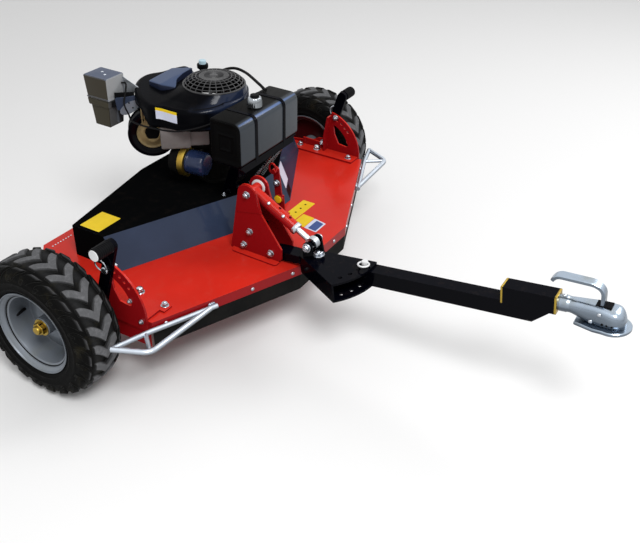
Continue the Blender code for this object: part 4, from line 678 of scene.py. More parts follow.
def arms(side, hand, start, end, sweep, width, shift):
    """Tread arms of one hand. At share m of its run the arm lies at angle -sweep (1 - (1 - m)^1.7), and it narrows."""
    share = np.linspace(0, 1, 12)
    at = start + (end - start) * share
    index = at * (len(SKIN) - 1)
    skin = np.stack([np.interp(index, np.arange(len(SKIN)), SKIN[:, i]) for i in (0, 1)], -1)
    base = np.stack([np.interp(index, np.arange(len(SKIN)), CARCASS[:, i] - OUTWARD[:, i] * 0.002) for i in (0, 1)],
                    -1)
    half = np.interp(share, (0, 0.25, 0.6, 1), width)
    middle = -sweep * (1 - (1 - share) ** 1.7)
    steps = np.array([-1.12, -0.92, -0.80, 0.80, 0.92, 1.12])
    heights = np.array([0, 0.86, 1, 1, 0.86, 0])
    end_drop = np.where((share == 0) | (share == 1), 0.0, 1.0)[:, None]
    level = (heights[None] * end_drop)[..., None]
    meridian = base[:, None] * (1 - level) + skin[:, None] * level
    angle = middle[:, None] + half[:, None] * steps[None]
    turns = (around(LUG_COUNT) + shift)[:, None, None]
    points = wheel_point(angle[None] + turns, meridian[None, ..., 0], hand * meridian[None, ..., 1], side)
    one = grid(points[0], close_columns=True)[1]
    step = np.arange(LUG_COUNT)[:, None, None] * points[0, ..., 0].size
    return points.reshape(-1, 3), (one[None] + step).reshape(-1, 4)


def tyre(name, side):
    """Carcass, chevrons of two arms each, shoulder blocks between them, and short ribs low on the side wall."""
    half_step = np.pi / LUG_COUNT
    parts = [carcass(side)]
    for hand in (1, -1):
        parts.append(arms(side, hand, -0.04, 0.40, 0.20, (0.092, 0.088, 0.076, 0.050), 0.0))
        parts.append(arms(side, hand, 0.45, 0.93, 0.20, (0.070, 0.104, 0.096, 0.060), half_step - 0.16))
        parts.append(arms(side, hand, 0.74, 0.99, 0.06, (0.020, 0.030, 0.030, 0.022), -0.20))
    return piece(name + "_tread", join(*parts), TYRE, name.split("_")[0] + "_wheel", name, angle=32)


for word, side in BOTH_SIDES:
    made_tyre = tyre(word + "_tyre", side)
    print(made_tyre.name, len(made_tyre.data.polygons), "faces")

# %% [markdown]
# ## Rims
# A pressed steel rim: a rolled lip, a bead seat, a stepped barrel and a dished disc with the hub in its middle. It is
# a profile spun about the axle, so one list of radii and distances is enough. The hub's raised ring and the valve are
# pieces of their own.

# %% Rims
RIM_SIDES, PRIMER_SIDES = 128, 96


def spun_on_axle(profile, side, sides):
    """A profile of (radius, distance outwards from the tyre's middle plane) spun about the axle of one side."""
    return turned([(r, side * (WHEEL_TRACK + x)) for r, x in profile], sides, "X", (0, 0, AXLE_HEIGHT))


def rim(side):
    """The whole rim as one closed profile of radius and distance outwards from the tyre's middle plane."""
    face = [(0.0136, 0.030), (0.024, 0.030), (0.0262, 0.0278), (0.0265, -0.002), (0.0300, -0.0055), (0.044, -0.0060),
            (0.052, -0.0042), (0.060, -0.0050), (0.078, -0.0110), (0.090, -0.0150), (0.0965, -0.0185),
            (0.0985, -0.0150), (0.0990, 0.0060), (0.1000, 0.0300), (0.1010, 0.0440), (0.1020, 0.0480),
            (0.1085, 0.0510),
            (0.1095, 0.0560), (0.1150, 0.0620), (0.1205, 0.0640), (0.1228, 0.0652), (0.1222, 0.0672),
            (0.1200, 0.0668)]
    behind = [(0.1180, 0.0620), (0.1120, 0.0540), (0.1056, 0.0500), (0.1052, 0.0460), (0.1052, -0.0460),
              (0.1056, -0.0500), (0.1120, -0.0540), (0.1180, -0.0620), (0.1200, -0.0668), (0.1222, -0.0672),
              (0.1228, -0.0652), (0.1150, -0.0600), (0.1085, -0.0510), (0.1020, -0.0480), (0.1000, -0.0300),
              (0.0985, -0.0220), (0.0880, -0.0210), (0.0600, -0.0140), (0.0440, -0.0120), (0.0300, -0.0125),
              (0.0300, -0.0540), (0.0136, -0.0540)]
    return spun_on_axle(face + behind + [face[0]], side, RIM_SIDES)


def hub_parts(side):
    """The hub's raised ring, spun from its section, and the valve stem, a narrowing tube."""
    seat = Matrix.Translation((side * (WHEEL_TRACK + 0.0285), 0, AXLE_HEIGHT))
    collar = turned([(0.0138, side * 0.0005), (0.0225, side * 0.0005), (0.0225, side * 0.0030),
                     (0.0138, side * 0.0034),
                     (0.0138, side * 0.0005)], 64, "X")
    line = [(side * (WHEEL_TRACK + x), y, AXLE_HEIGHT + 0.006) for x,
            y in ((0.001, 0.094), (0.019, 0.091), (0.034, 0.088))]
    stem = tube(line, (0.0042, 0.0042, 0.0030), 12)
    return placed(collar, seat), stem


def inner_dark_red(side):
    """Dark red on the inner bead seat and on the back of the pressing, each a thin spun sheet."""
    seat = [(0.1030, -0.0512), (0.1075, -0.0530), (0.1140, -0.0604), (0.1198, -0.0672), (0.1190, -0.0680),
            (0.1130, -0.0618), (0.1065, -0.0545), (0.1026, -0.0522), (0.1030, -0.0512)]
    back = [(0.0310, -0.0228), (0.0900, -0.0228), (0.0968, -0.0232), (0.0968, -0.0224), (0.0310, -0.0218),
            (0.0310, -0.0228)]
    return [spun_on_axle(ring, side, PRIMER_SIDES) for ring in (seat, back)]


# Dark red sheets inside the rim, with a painted shade on their upright faces.
INNER_DARK_RED = paint("inner rim dark red", "red_paint", (0.10, 0.006, 0.006), (0.05, 0.003, 0.004), specular=0.1)
for word, side in BOTH_SIDES:
    seat, back = inner_dark_red(side)
    piece(word + "_rim_inner_red", seat, INNER_DARK_RED, word + "_wheel", angle=30)
    piece(word + "_rim_back", back, INNER_DARK_RED, word + "_wheel", angle=30)
    piece(word + "_rim_pressing", rim(side), RIM, word + "_wheel", word + "_rim", angle=30)
    collar, stem = hub_parts(side)
    piece(word + "_hub_ring", collar, YELLOW_ZINC, word + "_wheel")
    piece(word + "_valve", stem, HOSE, word + "_wheel")
print("rims spun with", RIM_SIDES, "sides")

# %% [markdown]
# ## Engine
# The engine has an upright shaft. One deep-drawn cowl covers its fan and its cylinder: it leans away from the round
# screen that lets cooling air in, and runs out into a canopy with a flat side. Around it sit the air cleaner, the
# muffler drum, a grey side cover and the blue oil filter. Most are built in the engine's own frame, which is turned.

# %% The engine's frame
CRANK = np.array((0.048, -0.020))  # the shaft, seen from above
HOUSING_RADIUS, SCREEN_RADIUS, RIM_TOP = 0.155, 0.092, 0.6405
HEM = 0.5457  # height of the cowl's lower edge
COWL_SIDES = 288


def on_engine(patch):
    """A patch drawn in the engine's own frame, brought to its place on the deck."""
    return placed(patch, ENGINE)


def in_engine(x, y):
    """Places beside the crankshaft, in the engine's own frame: q = R^-1 (p - case)."""
    turn = np.array(ENGINE.to_3x3())[:2, :2]
    return np.moveaxis(np.tensordot(turn.T, np.stack([x - CASE[0], y - CASE[1]]), 1), 0, -1)


# %% Cowl
def cowl_reach(angle):
    """Distance from the shaft to the cowl's wall: a circle about the case, blended with the canopy's straight sides.

    Circle: b = d.u + sqrt(r^2 - d.d + (d.u)^2). Sides: each line n.p = c gives b = c / n.u, joined by a soft minimum.
    """
    heading = np.stack([np.cos(angle), np.sin(angle)], -1)
    offset = CASE - CRANK
    along = heading @ offset
    circle = along + np.sqrt(HOUSING_RADIUS ** 2 - offset @ offset + along ** 2)
    corners = np.array([(0.105, 0.060), (-0.110, 0.060), (-0.110, -0.150), (-0.070, -0.190), (0.035, -0.190),
                        (0.105, -0.145)])
    turn = np.array(ENGINE.to_3x3())[:2, :2]
    corners = corners @ turn.T + CASE - CRANK
    sides = np.roll(corners, -1, 0) - corners
    outward = np.stack([sides[:, 1], -sides[:, 0]], -1)
    outward *= np.sign((outward * corners).sum(1))[:, None] / np.linalg.norm(outward, axis=1)[:, None]
    nearness = np.maximum(heading @ outward.T, 1e-6) / (outward * corners).sum(1)
    straight = (nearness ** 20).sum(-1) ** (-1 / 20)
    return (circle ** 18 + straight ** 18) ** (1 / 18)


def cowl_height(x, y, share):
    """Height of the roof: the dome falls with the share of the way out, the canopy is a tilted plane, and
    k log(exp(a / k) + exp(b / k)) takes the higher of the two with a soft valley between."""
    dome = np.interp(share, [0, 0.15, 0.44, 0.70, 0.85, 1.0], [0.6400, 0.6335, 0.6200, 0.6125, 0.6075, 0.6020])
    q = in_engine(x, y)
    plane = 0.6115 + (0.105 - q[..., 0]) * 0.13 - np.clip((q[..., 1] + 0.035) / 0.05, 0, 1) ** 2 * 0.06
    soft = 0.0035
    top = np.maximum(dome, plane)
    return top + soft * np.log(np.exp((dome - top) / soft) + np.exp((plane - top) / soft)) - soft * 0.4


def cowl():
    """One shell in polar rows about the shaft: rim, roof, rolled shoulder, wall, turned-in lip, and back inside."""
    angle = around(COWL_SIDES)
    reach = cowl_reach(angle)
    rim = SCREEN_RADIUS + 0.004
    roll = np.minimum(0.015, (reach - rim) * 0.6)

    def row(distance, height):
        return np.stack([CRANK[0] + distance * np.cos(angle), CRANK[1] + distance * np.sin(angle),
                         np.broadcast_to(height, distance.shape)], -1)

    def roof(share, sink=0.0):
        distance = rim + (reach - roll - rim) * share
        x, y = CRANK[0] + distance * np.cos(angle), CRANK[1] + distance * np.sin(angle)
        return row(distance, cowl_height(x, y, (distance - rim) / (reach - rim)) - sink)

    rows = [row(np.full_like(angle, rim - 0.003), RIM_TOP - 0.0008), row(np.full_like(angle, rim - 0.001), RIM_TOP)]
    rows += [roof(share) for share in np.linspace(0.02, 1, 26)]
    edge = rows[-1]
    for bend in np.radians(np.linspace(12, 90, 8)):
        rows.append(row(reach - roll + roll * np.sin(bend), edge[:, 2] - roll * (1 - np.cos(bend))))
    far_end = in_engine(CRANK[0] + reach * np.cos(angle), CRANK[1] + reach * np.sin(angle))[:, 1]
    hem = HEM + 0.0420 * np.clip((-0.152 - far_end) / 0.020, 0, 1)
    for inset, z in ((0.0000, 0.5720), (0.0004, 0.5560), (-0.0008, 0.5530), (-0.0012, 0.5505), (-0.0004, 0.5475),
                     (0.0015, 0.5457), (0.0032, 0.5458), (0.0036, 0.5500), (0.0036, 0.5700)):
        rows.append(row(reach - inset, np.maximum(z, hem + (z - HEM) * 0.3)))
    rows += [roof(share, 0.0045) for share in np.linspace(0.97, 0.02, 14)]
    rows += [row(np.full_like(angle, SCREEN_RADIUS - 0.003), 0.6330),
             row(np.full_like(angle, SCREEN_RADIUS - 0.0025), 0.6385)]
    neck = turned([(0.0, 0.606), (0.0125, 0.606), (0.0125, 0.622), (0.0110, 0.626), (0.0110, 0.652), (0.0, 0.652)],
                  48)
    return join(grid(np.array(rows), close_rows=True, close_columns=True), (neck[0] + (0.132, 0.088, 0), neck[1]))


piece("cowl", cowl(), COWL, "deck", "blower_housing", angle=50)

# %% Fan screen
SCREEN_BARS, DISC_RIBS, HOOP_SIDES = 26, 36, 96


def screen():
    """Hoops at five heights of a flat dome, round bars bent over them, and the ribbed disc in the middle."""
    bars = np.array([(0.0915, 0.6405), (0.0890, 0.6465), (0.0830, 0.6530), (0.0740, 0.6590), (0.0620, 0.6635),
                     (0.0440, 0.6655)])
    path = np.column_stack([bars[:, 0], np.zeros(len(bars)), bars[:, 1]])
    bar = tube(smooth_profile(path, 4), 0.0014, 8)
    turns = [Matrix.Rotation(2 * math.pi * i / SCREEN_BARS, 4, "Z") for i in range(SCREEN_BARS)]
    hoops = []
    for radius, z, thick in ((0.0925, 0.6418, 0.0032), (0.0862, 0.6500, 0.0016), (0.0770, 0.6572, 0.0016),
                             (0.0650, 0.6626, 0.0016), (0.0540, 0.6648, 0.0016)):
        angle = around(HOOP_SIDES)
        circle = np.column_stack([radius * np.cos(angle), radius * np.sin(angle), np.full(HOOP_SIDES, z)])
        hoops.append(tube(circle, thick, 8, closed=True))
    disc = turned([(0.0, 0.6615), (0.0450, 0.6605), (0.0460, 0.6640), (0.0445, 0.6668), (0.0300, 0.6676),
                   (0.0290, 0.6668), (0.0120, 0.6672), (0.0110, 0.6679), (0.0, 0.6680)], 96)
    rib = tube([(0.0130, 0, 0.6671), (0.0280, 0, 0.6673), (0.0430, 0, 0.6667)], 0.0007, 6)
    ribs = repeat(rib, [Matrix.Rotation(2 * math.pi * i / DISC_RIBS, 4, "Z") for i in range(DISC_RIBS)])
    return placed(join(repeat(bar, turns), *hoops, disc, ribs), Matrix.Translation((*CRANK, 0)))


piece("fan_screen", screen(), SCREEN, "deck", "blower_grille", angle=50)

# %% Air cleaner cover
def lid():
    """A folded plate over the filter: two facets that meet in a ridge, with a short turned-down edge all round.

    Each rounded outline point p takes its height from z = a + b.p on its own side of the ridge, whichever is lower.
    """
    plan = [(-0.044, 0.160), (-0.052, 0.106), (-0.030, 0.064), (0.004, 0.088), (0.040, 0.093), (0.088, 0.090),
            (0.060, 0.152)]
    flat = rounded_outline(plan, 0.008, 7)
    middle = flat.mean(0)
    share = np.array([1.0, 0.985, 0.96, 0.90, 0.75, 0.55, 0.3, 0.08])[:, None, None]
    x, y = np.moveaxis(middle + (flat - middle) * share, -1, 0)
    along = (x + 0.05) / 0.14
    crown = 0.642 + 0.0145 * along - np.maximum(0, 0.108 - y - along * 0.02) * 0.22 - np.maximum(0, y - 0.108) * 0.05
    drop = np.array([0.0040, 0.0013, 0.0002, 0, 0, 0, 0, 0])[:, None]
    top = np.stack([x, y, crown - drop], -1)
    wall = np.stack([top[0] - (0, 0, 0.010), top[0] - (0, 0, 0.026)])
    return grid(np.vstack([np.repeat(wall[1].mean(0)[None, None], len(flat), 1), wall[::-1], top,
                           np.repeat(top[-1].mean(0)[None, None], len(flat), 1)]), close_columns=True)


def duct():
    """The moulded body under the lid, on the roof of the cowl."""
    plan = [(-0.036, 0.154), (-0.043, 0.108), (-0.022, 0.074), (0.034, 0.088), (0.080, 0.092), (0.056, 0.146)]
    shape = rounded_outline(plan, 0.010, 6)
    rings = [np.column_stack([shape, np.full(len(shape), z)]) for z in (0.612, 0.626, 0.634)]
    return loft(rings)


piece("air_cleaner_lid", lid(), LID, "deck", "air_cleaner_cover", angle=30)
piece("air_cleaner_body", duct(), PLASTIC, "deck", angle=50)

# %% Muffler
MUFFLER = (-0.030, -0.147, 0.490)


def muffler():
    """A seamed drum about a level axis, open towards the side, with a dished and stamped plate in it."""
    drum = [(0.0, 0.0), (0.066, 0.0), (0.0715, 0.0015), (0.0740, 0.005), (0.0740, 0.010), (0.0728, 0.012),
            (0.0728, 0.050),
            (0.0740, 0.052), (0.0745, 0.057), (0.0732, 0.0598), (0.0690, 0.0602), (0.0530, 0.0590), (0.0490, 0.0570),
            (0.0475, 0.0530), (0.0470, 0.0500), (0.0, 0.0500)]
    plate = [(0.0, 0.0505), (0.0140, 0.0505), (0.0165, 0.0512), (0.0180, 0.0545), (0.0210, 0.0575), (0.0250, 0.0582),
             (0.0300, 0.0560), (0.0360, 0.0535), (0.0420, 0.0530), (0.0465, 0.0545), (0.0470, 0.0506), (0.0, 0.0504)]
    return (on_engine(turned(drum, 96, "X", MUFFLER)), on_engine(turned(smooth_profile(plate, 3), 96, "X", MUFFLER)))


drum, plate = muffler()
piece("muffler_shell", drum, DARK, "deck", "muffler_drum")
piece("muffler_plate", plate, CAST, "deck", "muffler_end_plate", angle=60)

# %% Oil filter
FILTER_SEAT, FILTER_HEADING = Vector((0.086, -0.040, 0.420)), Vector((0.574, 0.819, 0.0))


def oil_filter():
    """A deep-drawn canister with fourteen flutes round its closed end, on a gold passivated seat ring."""
    knots = [(0.0, 0.0005), (0.0330, 0.0005), (0.0362, 0.0020), (0.0370, 0.0060), (0.0352, 0.0085), (0.0372, 0.0105),
             (0.0375, 0.0140), (0.0375, 0.0450), (0.0362, 0.0540), (0.0325, 0.0595), (0.0260, 0.0615), (0.0, 0.0620)]
    stand = np.array(aim(FILTER_SEAT, FILTER_HEADING))
    points, faces = turned(smooth_profile(knots, 4), 96)
    radius = np.linalg.norm(points[:, :2], axis=1)
    angle = np.arctan2(points[:, 1], points[:, 0])
    flute = 1 - 0.022 * (np.cos(angle * 14) > 0.2) * (points[:, 2] > 0.044) * (radius > 0.02)
    points = points * np.stack([flute, flute, np.ones_like(flute)], -1)
    ring = turned([(0.0462, -0.020), (0.0480, -0.019), (0.0484, -0.012), (0.0484, -0.004), (0.0470, 0.0002),
                   (0.0375, 0.0006), (0.0375, -0.001), (0.0462, -0.001), (0.0462, -0.020)], 96)
    return on_engine(placed((points, faces), stand)), on_engine(placed(ring, stand))


canister, seat_ring = oil_filter()
piece("filter_canister", canister, FILTER, "deck", "oil_filter")
piece("filter_seat_ring", seat_ring, YELLOW_ZINC, "deck")

# %% Side cover and caps
def side_cover():
    """Two cast steps with rounded edges and a parting rib."""
    large = box((0.036, -0.122, 0.4705), (0.1035, -0.035, 0.5435), 0.005)
    small = box((0.040, -0.038, 0.4745), (0.0955, 0.022, 0.5395), 0.004)
    rib = box((0.060, -0.1240, 0.4690), (0.0630, -0.0330, 0.5445), 0.0008)
    return on_engine(join(large, small, rib))


def knob(place, profile, teeth, depth):
    """A cap spun about its neck, its rim pressed into teeth: r falls by a share of cos(n a)."""
    points, faces = turned(smooth_profile(profile, 3), 96)
    angle = np.arctan2(points[:, 1], points[:, 0])
    radius = np.linalg.norm(points[:, :2], axis=1)
    grip = 1 - depth * (0.5 + 0.5 * np.cos(teeth * angle)) * (radius > 0.008)
    points = points * np.stack([grip, grip, np.ones_like(grip)], -1)
    return points + np.array((*place, 0.0)), faces


piece("side_cover_casting", side_cover(), GREY_CAST, "deck", "engine_side_cover", bevel=0.0012)
OIL_NECK, TANK_NECK = (0.132, 0.088), (-0.015, -0.212)
cap = knob(OIL_NECK,
           [(0.0, 0.6525), (0.0112, 0.6525), (0.0114, 0.6425), (0.0160, 0.6422), (0.0174, 0.6430), (0.0176, 0.6530),
                      (0.0150, 0.6560), (0.0, 0.6562)], 16, 0.05)
top = knob(OIL_NECK,
           [(0.0, 0.6555), (0.0108, 0.6556), (0.0116, 0.6580), (0.0116, 0.6645), (0.0100, 0.6672), (0.0, 0.6675)], 8,
           0.04)
ICE = grained("pale blue plastic", "black_plastic", (0.42, 0.58, 0.66), (0.48, 0.64, 0.72), 0.3, 900.0, 0.00003)
piece("oil_cap_skirt", cap, PLASTIC, "oil_filler_cap", "oil_filler_cap")
piece("oil_cap_top", top, ICE, "oil_filler_cap")
print("engine pieces so far:", len(made))

# %% [markdown]
# ## Fuel tank
# A black moulded tank held by two steel straps. Its front upper edge has a wide round, and two ribs cross each end.
# The section is one rounded outline carried along the tank, drawn in at the ends, and each end is a grid of its own
# that runs to the middle, so that the ribs can stand out of it.

# %% Tank
TANK_HALF, TANK_FIT = 0.150, 0.9985  # half its length, and how much of that the skin takes


def tank():
    """Section rings along x; beyond each end they shrink to the middle, and ribs push the end out by their height."""
    corners = [(-0.1500, 0.500), (-0.1500, 0.632), (-0.2550, 0.632), (-0.2550, 0.500)]
    section = rounded_outline(corners, (0.006, 0.008, 0.026, 0.012), 10)
    middle = section.mean(0)
    reach = np.linalg.norm(section - middle, axis=1)[:, None]
    rings = []
    for x, inset in ((-1, 0.005), (-0.985, 0.0015), (-0.96, 0), (0, 0), (0.96, 0), (0.985, 0.0015), (1, 0.005)):
        flat = middle + (section - middle) * (1 - inset / reach)
        rings.append(np.column_stack([np.full(len(flat), x * TANK_HALF * TANK_FIT), flat]))
    edge = rings[-1][:, 1:]
    shrink = np.linspace(0.985, 0.0, 22)[:, None, None]
    face = middle + (edge - middle) * shrink
    rib = sum(np.exp(-((face[..., 1] - z) / 0.0030) ** 2) for z in (0.5450, 0.5900))
    sunk = np.clip((1 - shrink[..., 0]) * 5, 0, 1)
    swell = 0.0001 - 0.0022 * sunk * (1 - rib)
    left = np.concatenate([(TANK_HALF * TANK_FIT + swell)[..., None], face], -1)
    right = left * (-1, 1, 1)
    skin = np.vstack([right[::-1], np.array(rings), left])
    return grid(skin, close_columns=True)


neck = turned([(0.0, 0.628), (0.0195, 0.628), (0.0190, 0.634), (0.0165, 0.6365), (0.0160, 0.6460), (0.0, 0.6460)], 64,
              "Z", (*TANK_NECK, 0))
piece("tank_moulding", join(tank(), neck), TANK, "deck", "fuel_tank", angle=28)

# %% Filler cap
CHROME = plated("chromed steel", "zinc", (0.40, 0.43, 0.46), (0.5, 0.5, 0.5), 0.3, 0.16, 40.0, 0.15)
skirt = knob(TANK_NECK, [(0.0, 0.6470), (0.0168, 0.6465), (0.0172, 0.6368), (0.0225, 0.6362), (0.0228, 0.6385),
                         (0.0218, 0.6520), (0.0190, 0.6600), (0.0150, 0.6625), (0.0, 0.6630)], 24, 0.035)
vent = knob(TANK_NECK, [(0.0, 0.6610), (0.0125, 0.6610), (0.0128, 0.6665), (0.0120, 0.6690), (0.0, 0.6694)], 10, 0.06)
piece("fuel_cap_skirt", skirt, CHROME, "fuel_cap", "fuel_cap")
piece("fuel_cap_vent", vent, PLASTIC, "fuel_cap")
print("tank and cap made")

# %% [markdown]
# ## Hitch
# Tower, beam and drawbar lie in one long pitched frame: u to the side, s forwards along the bar, h up from its middle
# line. Pieces are drawn in that frame and then placed, as the real ones are cut flat and then hung.

# %% The bar's frame
HITCH = Vector((-0.125, -0.362, 0.239))
BAR_FRAME = Matrix.Translation(HITCH) @ Matrix.Rotation(math.radians(-7.7), 4, "X")


def on_bar(patch):
    """A patch drawn in u, s, h, brought to its place: the bar runs along -Y of its frame."""
    points, faces = patch
    return placed((points * (1, -1, 1), faces), BAR_FRAME)


def bar_place(u, s, h):
    """The place of u, s, h in the row frame."""
    return BAR_FRAME @ Vector((u, -s, h))


# %% [markdown]
# ## Fasteners
# A bolt head is a hexagon with its corners drawn in, on a round washer. One head is made and then set down many
# times, each time turned to stand square on its own face.

# %% Bolt heads
def hexagon(across):
    """Six corners at 60 degree steps, across / sqrt 3 from the middle."""
    angle = np.arange(6) * np.pi / 3
    return np.column_stack([np.cos(angle), np.sin(angle)]) * across / np.sqrt(3)


def hex_bolt(across, height, washer):
    """Washer, head and the end of the thread over it, built up along +Z."""
    disc = turned([(0, -0.0004), (washer, -0.0004), (washer, 0.0010), (washer - 0.0005, 0.0015), (0, 0.0015)], 32)
    head = slab(hexagon(across), 0.0012, 0.0012 + height, "Z", height * 0.14)
    tip = turned([(0, height), (across * 0.28, height), (across * 0.28, height + 0.0032),
                  (across * 0.22, height + 0.0040),
                  (0, height + 0.0040)], 24)
    return join(disc, head, tip)


def dome_bolt(radius, height):
    """A round domed head: r = R cos t, z = h sin t, over a short straight edge."""
    t = np.linspace(0, np.pi / 2, 9)
    knots = [(0, -0.0004), (radius, -0.0004)] + [(radius * np.cos(a), height * (0.25 + 0.75 * np.sin(a))) for a in t]
    return turned(knots, 32)


def set_down(patch, spots):
    """The patch on every (place, heading) of a list."""
    return repeat(patch, [np.array(aim(place, heading, 0.3 * i)) for i, (place, heading) in enumerate(spots)])


UP = (0, 0, 1)
SMALL, MIDDLE = hex_bolt(0.010, 0.0050, 0.0070), hex_bolt(0.015, 0.0085, 0.0115)
print("bolt heads:", len(SMALL[1]), "and", len(MIDDLE[1]), "faces")

# %% [markdown]
# ## Hitch tower
# Two plates stand on the deck. Each is held by a foot strip and bolts, and the top link swings between them on a
# cross bolt, kept in the middle by two white plastic rings.

# %% Tower feet, bolts and rings
NEAR_PLATE, FAR_PLATE = -0.158, -0.092
LINK_PIN = (-0.278, 0.430)  # y and z of the cross bolt
DECK_TOP, COVER_TOP = 0.2350, 0.3350


def tower_feet():
    """Foot strips with one round corner, tight against the outer faces of the two plates."""
    plan = rounded_outline([(0, -0.222), (-0.020, -0.232), (-0.022, -0.388), (0, -0.388)],
                           (0.001, 0.004, 0.012, 0.001), 6)
    near = slab(plan + (NEAR_PLATE, 0), DECK_TOP + 0.0002, DECK_TOP + 0.0050, "Z", 0.0006)
    far = slab(plan * (-1, 1) + (FAR_PLATE, 0), DECK_TOP + 0.0002, DECK_TOP + 0.0050, "Z", 0.0006)
    return join(near, far)


def upper_plate(x, thick):
    """The doubled upper part of a tower plate, round the cross bolt."""
    t = np.linspace(0, np.pi, 24)
    top = np.array(LINK_PIN) + 0.031 * np.column_stack([np.cos(t), np.sin(t)])
    outline = np.vstack([top, [(-0.3240, 0.3830), (-0.2385, 0.3650)]])
    low, high = sorted((x, x + thick))
    return slab(outline, low, high, "X", 0.0004)


piece("tower_feet", tower_feet(), RED, "deck", bevel=0.0006)
piece("tower_doublers", join(upper_plate(NEAR_PLATE, -0.0022), upper_plate(FAR_PLATE, 0.0022)), RED, "deck")
spots = [((NEAR_PLATE - 0.0020, *LINK_PIN), (-1, 0, 0)), ((NEAR_PLATE, -0.284, 0.309), (-1, 0, 0)),
         ((FAR_PLATE + 0.0020, *LINK_PIN), (1, 0, 0)), ((FAR_PLATE, -0.284, 0.309), (1, 0, 0)),
         ((NEAR_PLATE, -0.357, 0.259), (-1, 0, 0)), ((FAR_PLATE, -0.357, 0.259), (1, 0, 0)),
         ((NEAR_PLATE, -0.262, 0.258), (-1, 0, 0)), ((FAR_PLATE, -0.262, 0.258), (1, 0, 0))]
piece("tower_bolts", set_down(MIDDLE, spots), ZINC, "deck", angle=30)


def washer_ring(x, inner=0.0088, outer=0.0228, thick=0.0036):
    """A flat ring on the cross bolt, its section drawn in at the outer edges and spun about the bolt."""
    profile = [(inner, 0), (outer - 0.001, 0), (outer, 0.0008), (outer, thick - 0.0008), (outer - 0.001, thick),
               (inner, thick), (inner, 0)]
    return turned(profile, 48, "X", (x, *LINK_PIN))


WHITE = grained("white plastic", "grey_plastic", (0.78, 0.79, 0.80), (0.70, 0.71, 0.72), 0.35, 900.0, 0.00004, 0.0,
                0.3)
piece("tower_rings", join(washer_ring(-0.1517), washer_ring(-0.1021)), WHITE, "deck")

# %% [markdown]
# ## Top link
# A red tube with a bright rod sliding in it. A collar closes the tube's lower end, and two grub screws lock it.

# %% Link collar and screws
LINK_START = Vector((HITCH[0], *LINK_PIN))
EYE = (0.127, 0.064)  # s and h of the beam's upper pin, which the rod's eye hangs on
link_end = bar_place(0, *EYE)
LINK_HEADING = (link_end - LINK_START).normalized()


def on_link(t, patch):
    """A patch built up along +Z, set on the link at t metres from its upper pin."""
    return placed(patch, aim(LINK_START + LINK_HEADING * t, LINK_HEADING))


collar = turned([(0.0100, -0.004), (0.0178, -0.004), (0.0186, -0.003), (0.0186, 0.0075), (0.0170, 0.0095),
                 (0.0100, 0.0095),
                 (0.0100, -0.004)], 48)
piece("link_collar", on_link(0.163, collar), ZINC, "top_link_tube")
across_link = LINK_HEADING.cross(Vector((1, 0, 0))).normalized()
side_up = (across_link * 0.7 + Vector((-0.7, 0, 0))).normalized()
spots = [(LINK_START + LINK_HEADING * t + side_up * 0.0165, side_up) for t in (0.062, 0.118)]
piece("link_screws", set_down(dome_bolt(0.0052, 0.0042), spots), ZINC, "top_link_tube")

# %% [markdown]
# ## Swivel beam
# The bolt ends are plated, so they stand out of the black paint. Each covers the plain end that the frame brings.

# %% Beam bolts
pin_ends = [(bar_place(u * 0.0332, *EYE), BAR_FRAME.to_3x3() @ Vector((u, 0, 0))) for u in (-1, 1)]
upright = BAR_FRAME.to_3x3() @ Vector((0, 0, 1))
swivel_cap = join(turned([(0, 0), (0.0190, 0), (0.0195, 0.0008), (0.0190, 0.0018), (0, 0.0018)], 48),
                  slab(hexagon(0.0242), 0.0016, 0.0090, "Z", 0.0012), dome_bolt(0.0090, 0.0125))
plate_top = 0.0225 + 0.0003 + 0.006  # half the bar, a gap and the plate
piece("beam_pin_ends", set_down(hex_bolt(0.0175, 0.0070, 0.0135), pin_ends), ZINC, "drawbar_beam", angle=30)
piece("swivel_nut", placed(swivel_cap, aim(bar_place(0, 0.142, plate_top), upright)), ZINC, "drawbar_beam", angle=30)


def pull_ring():
    """The lock pin with a long bent ring that has fallen over on the plate."""
    u, s = 0.0, 0.142 + 0.152
    low = plate_top + 0.0003
    shank = turned([(0, -0.0055), (0.0056, -0.0055), (0.0056, 0.0000), (0.0090, 0.0002), (0.0092, 0.0010),
                    (0.0092, 0.0100),
                    (0.0082, 0.0118), (0, 0.0122)], 40)
    t = around(64)
    loop = np.stack([0.0150 + 0.0210 * np.cos(t), 0.0150 * np.sin(t), 0.0085 + 0.0045 * np.cos(t + 0.4)], -1)
    ring = tube(loop, 0.0026, 12, closed=True)
    turn = Matrix.Rotation(math.radians(195), 4, "Z")
    return placed(join(shank, placed(ring, turn)), BAR_FRAME @ Matrix.Translation((u, -s, low)))


piece("swing_pin_ring", pull_ring(), WHITE, "swing_pin", "swing_pin")

# %% [markdown]
# ## Drawbar ends
# Two yellow passivated frames close the short front box. Each is a thin plate with round corners, a little larger
# than the box's own end.

# %% Box frames
def box_frame(s, thick):
    """A rounded square plate across the bar at s."""
    half, low, high = 0.0246, 0.0134, 0.0626
    plan = rounded_outline([(-half, low), (half, low), (half, high), (-half, high)], 0.004, 5)
    points, faces = slab(plan, s, s + thick, "X", 0.0004)
    return points[:, [1, 0, 2]], faces


piece("drawbar_box_frames", on_bar(join(box_frame(0.6935, 0.0048), box_frame(0.8295, 0.0052))), YELLOW_ZINC,
      "drawbar")

# %% [markdown]
# ## Ball coupler
# A pressed head over the ball: round in plan at its nose, with soft upper edges and a flat flange round its foot. The
# head is a skin over cross sections along the bar, and each section is a rounded box, |u/a|^n + |h/b|^n = 1.

# %% Coupler head
AXIS_H, BALL_S = 0.038, 0.965  # height of the coupler's middle line, and the ball's place along the bar


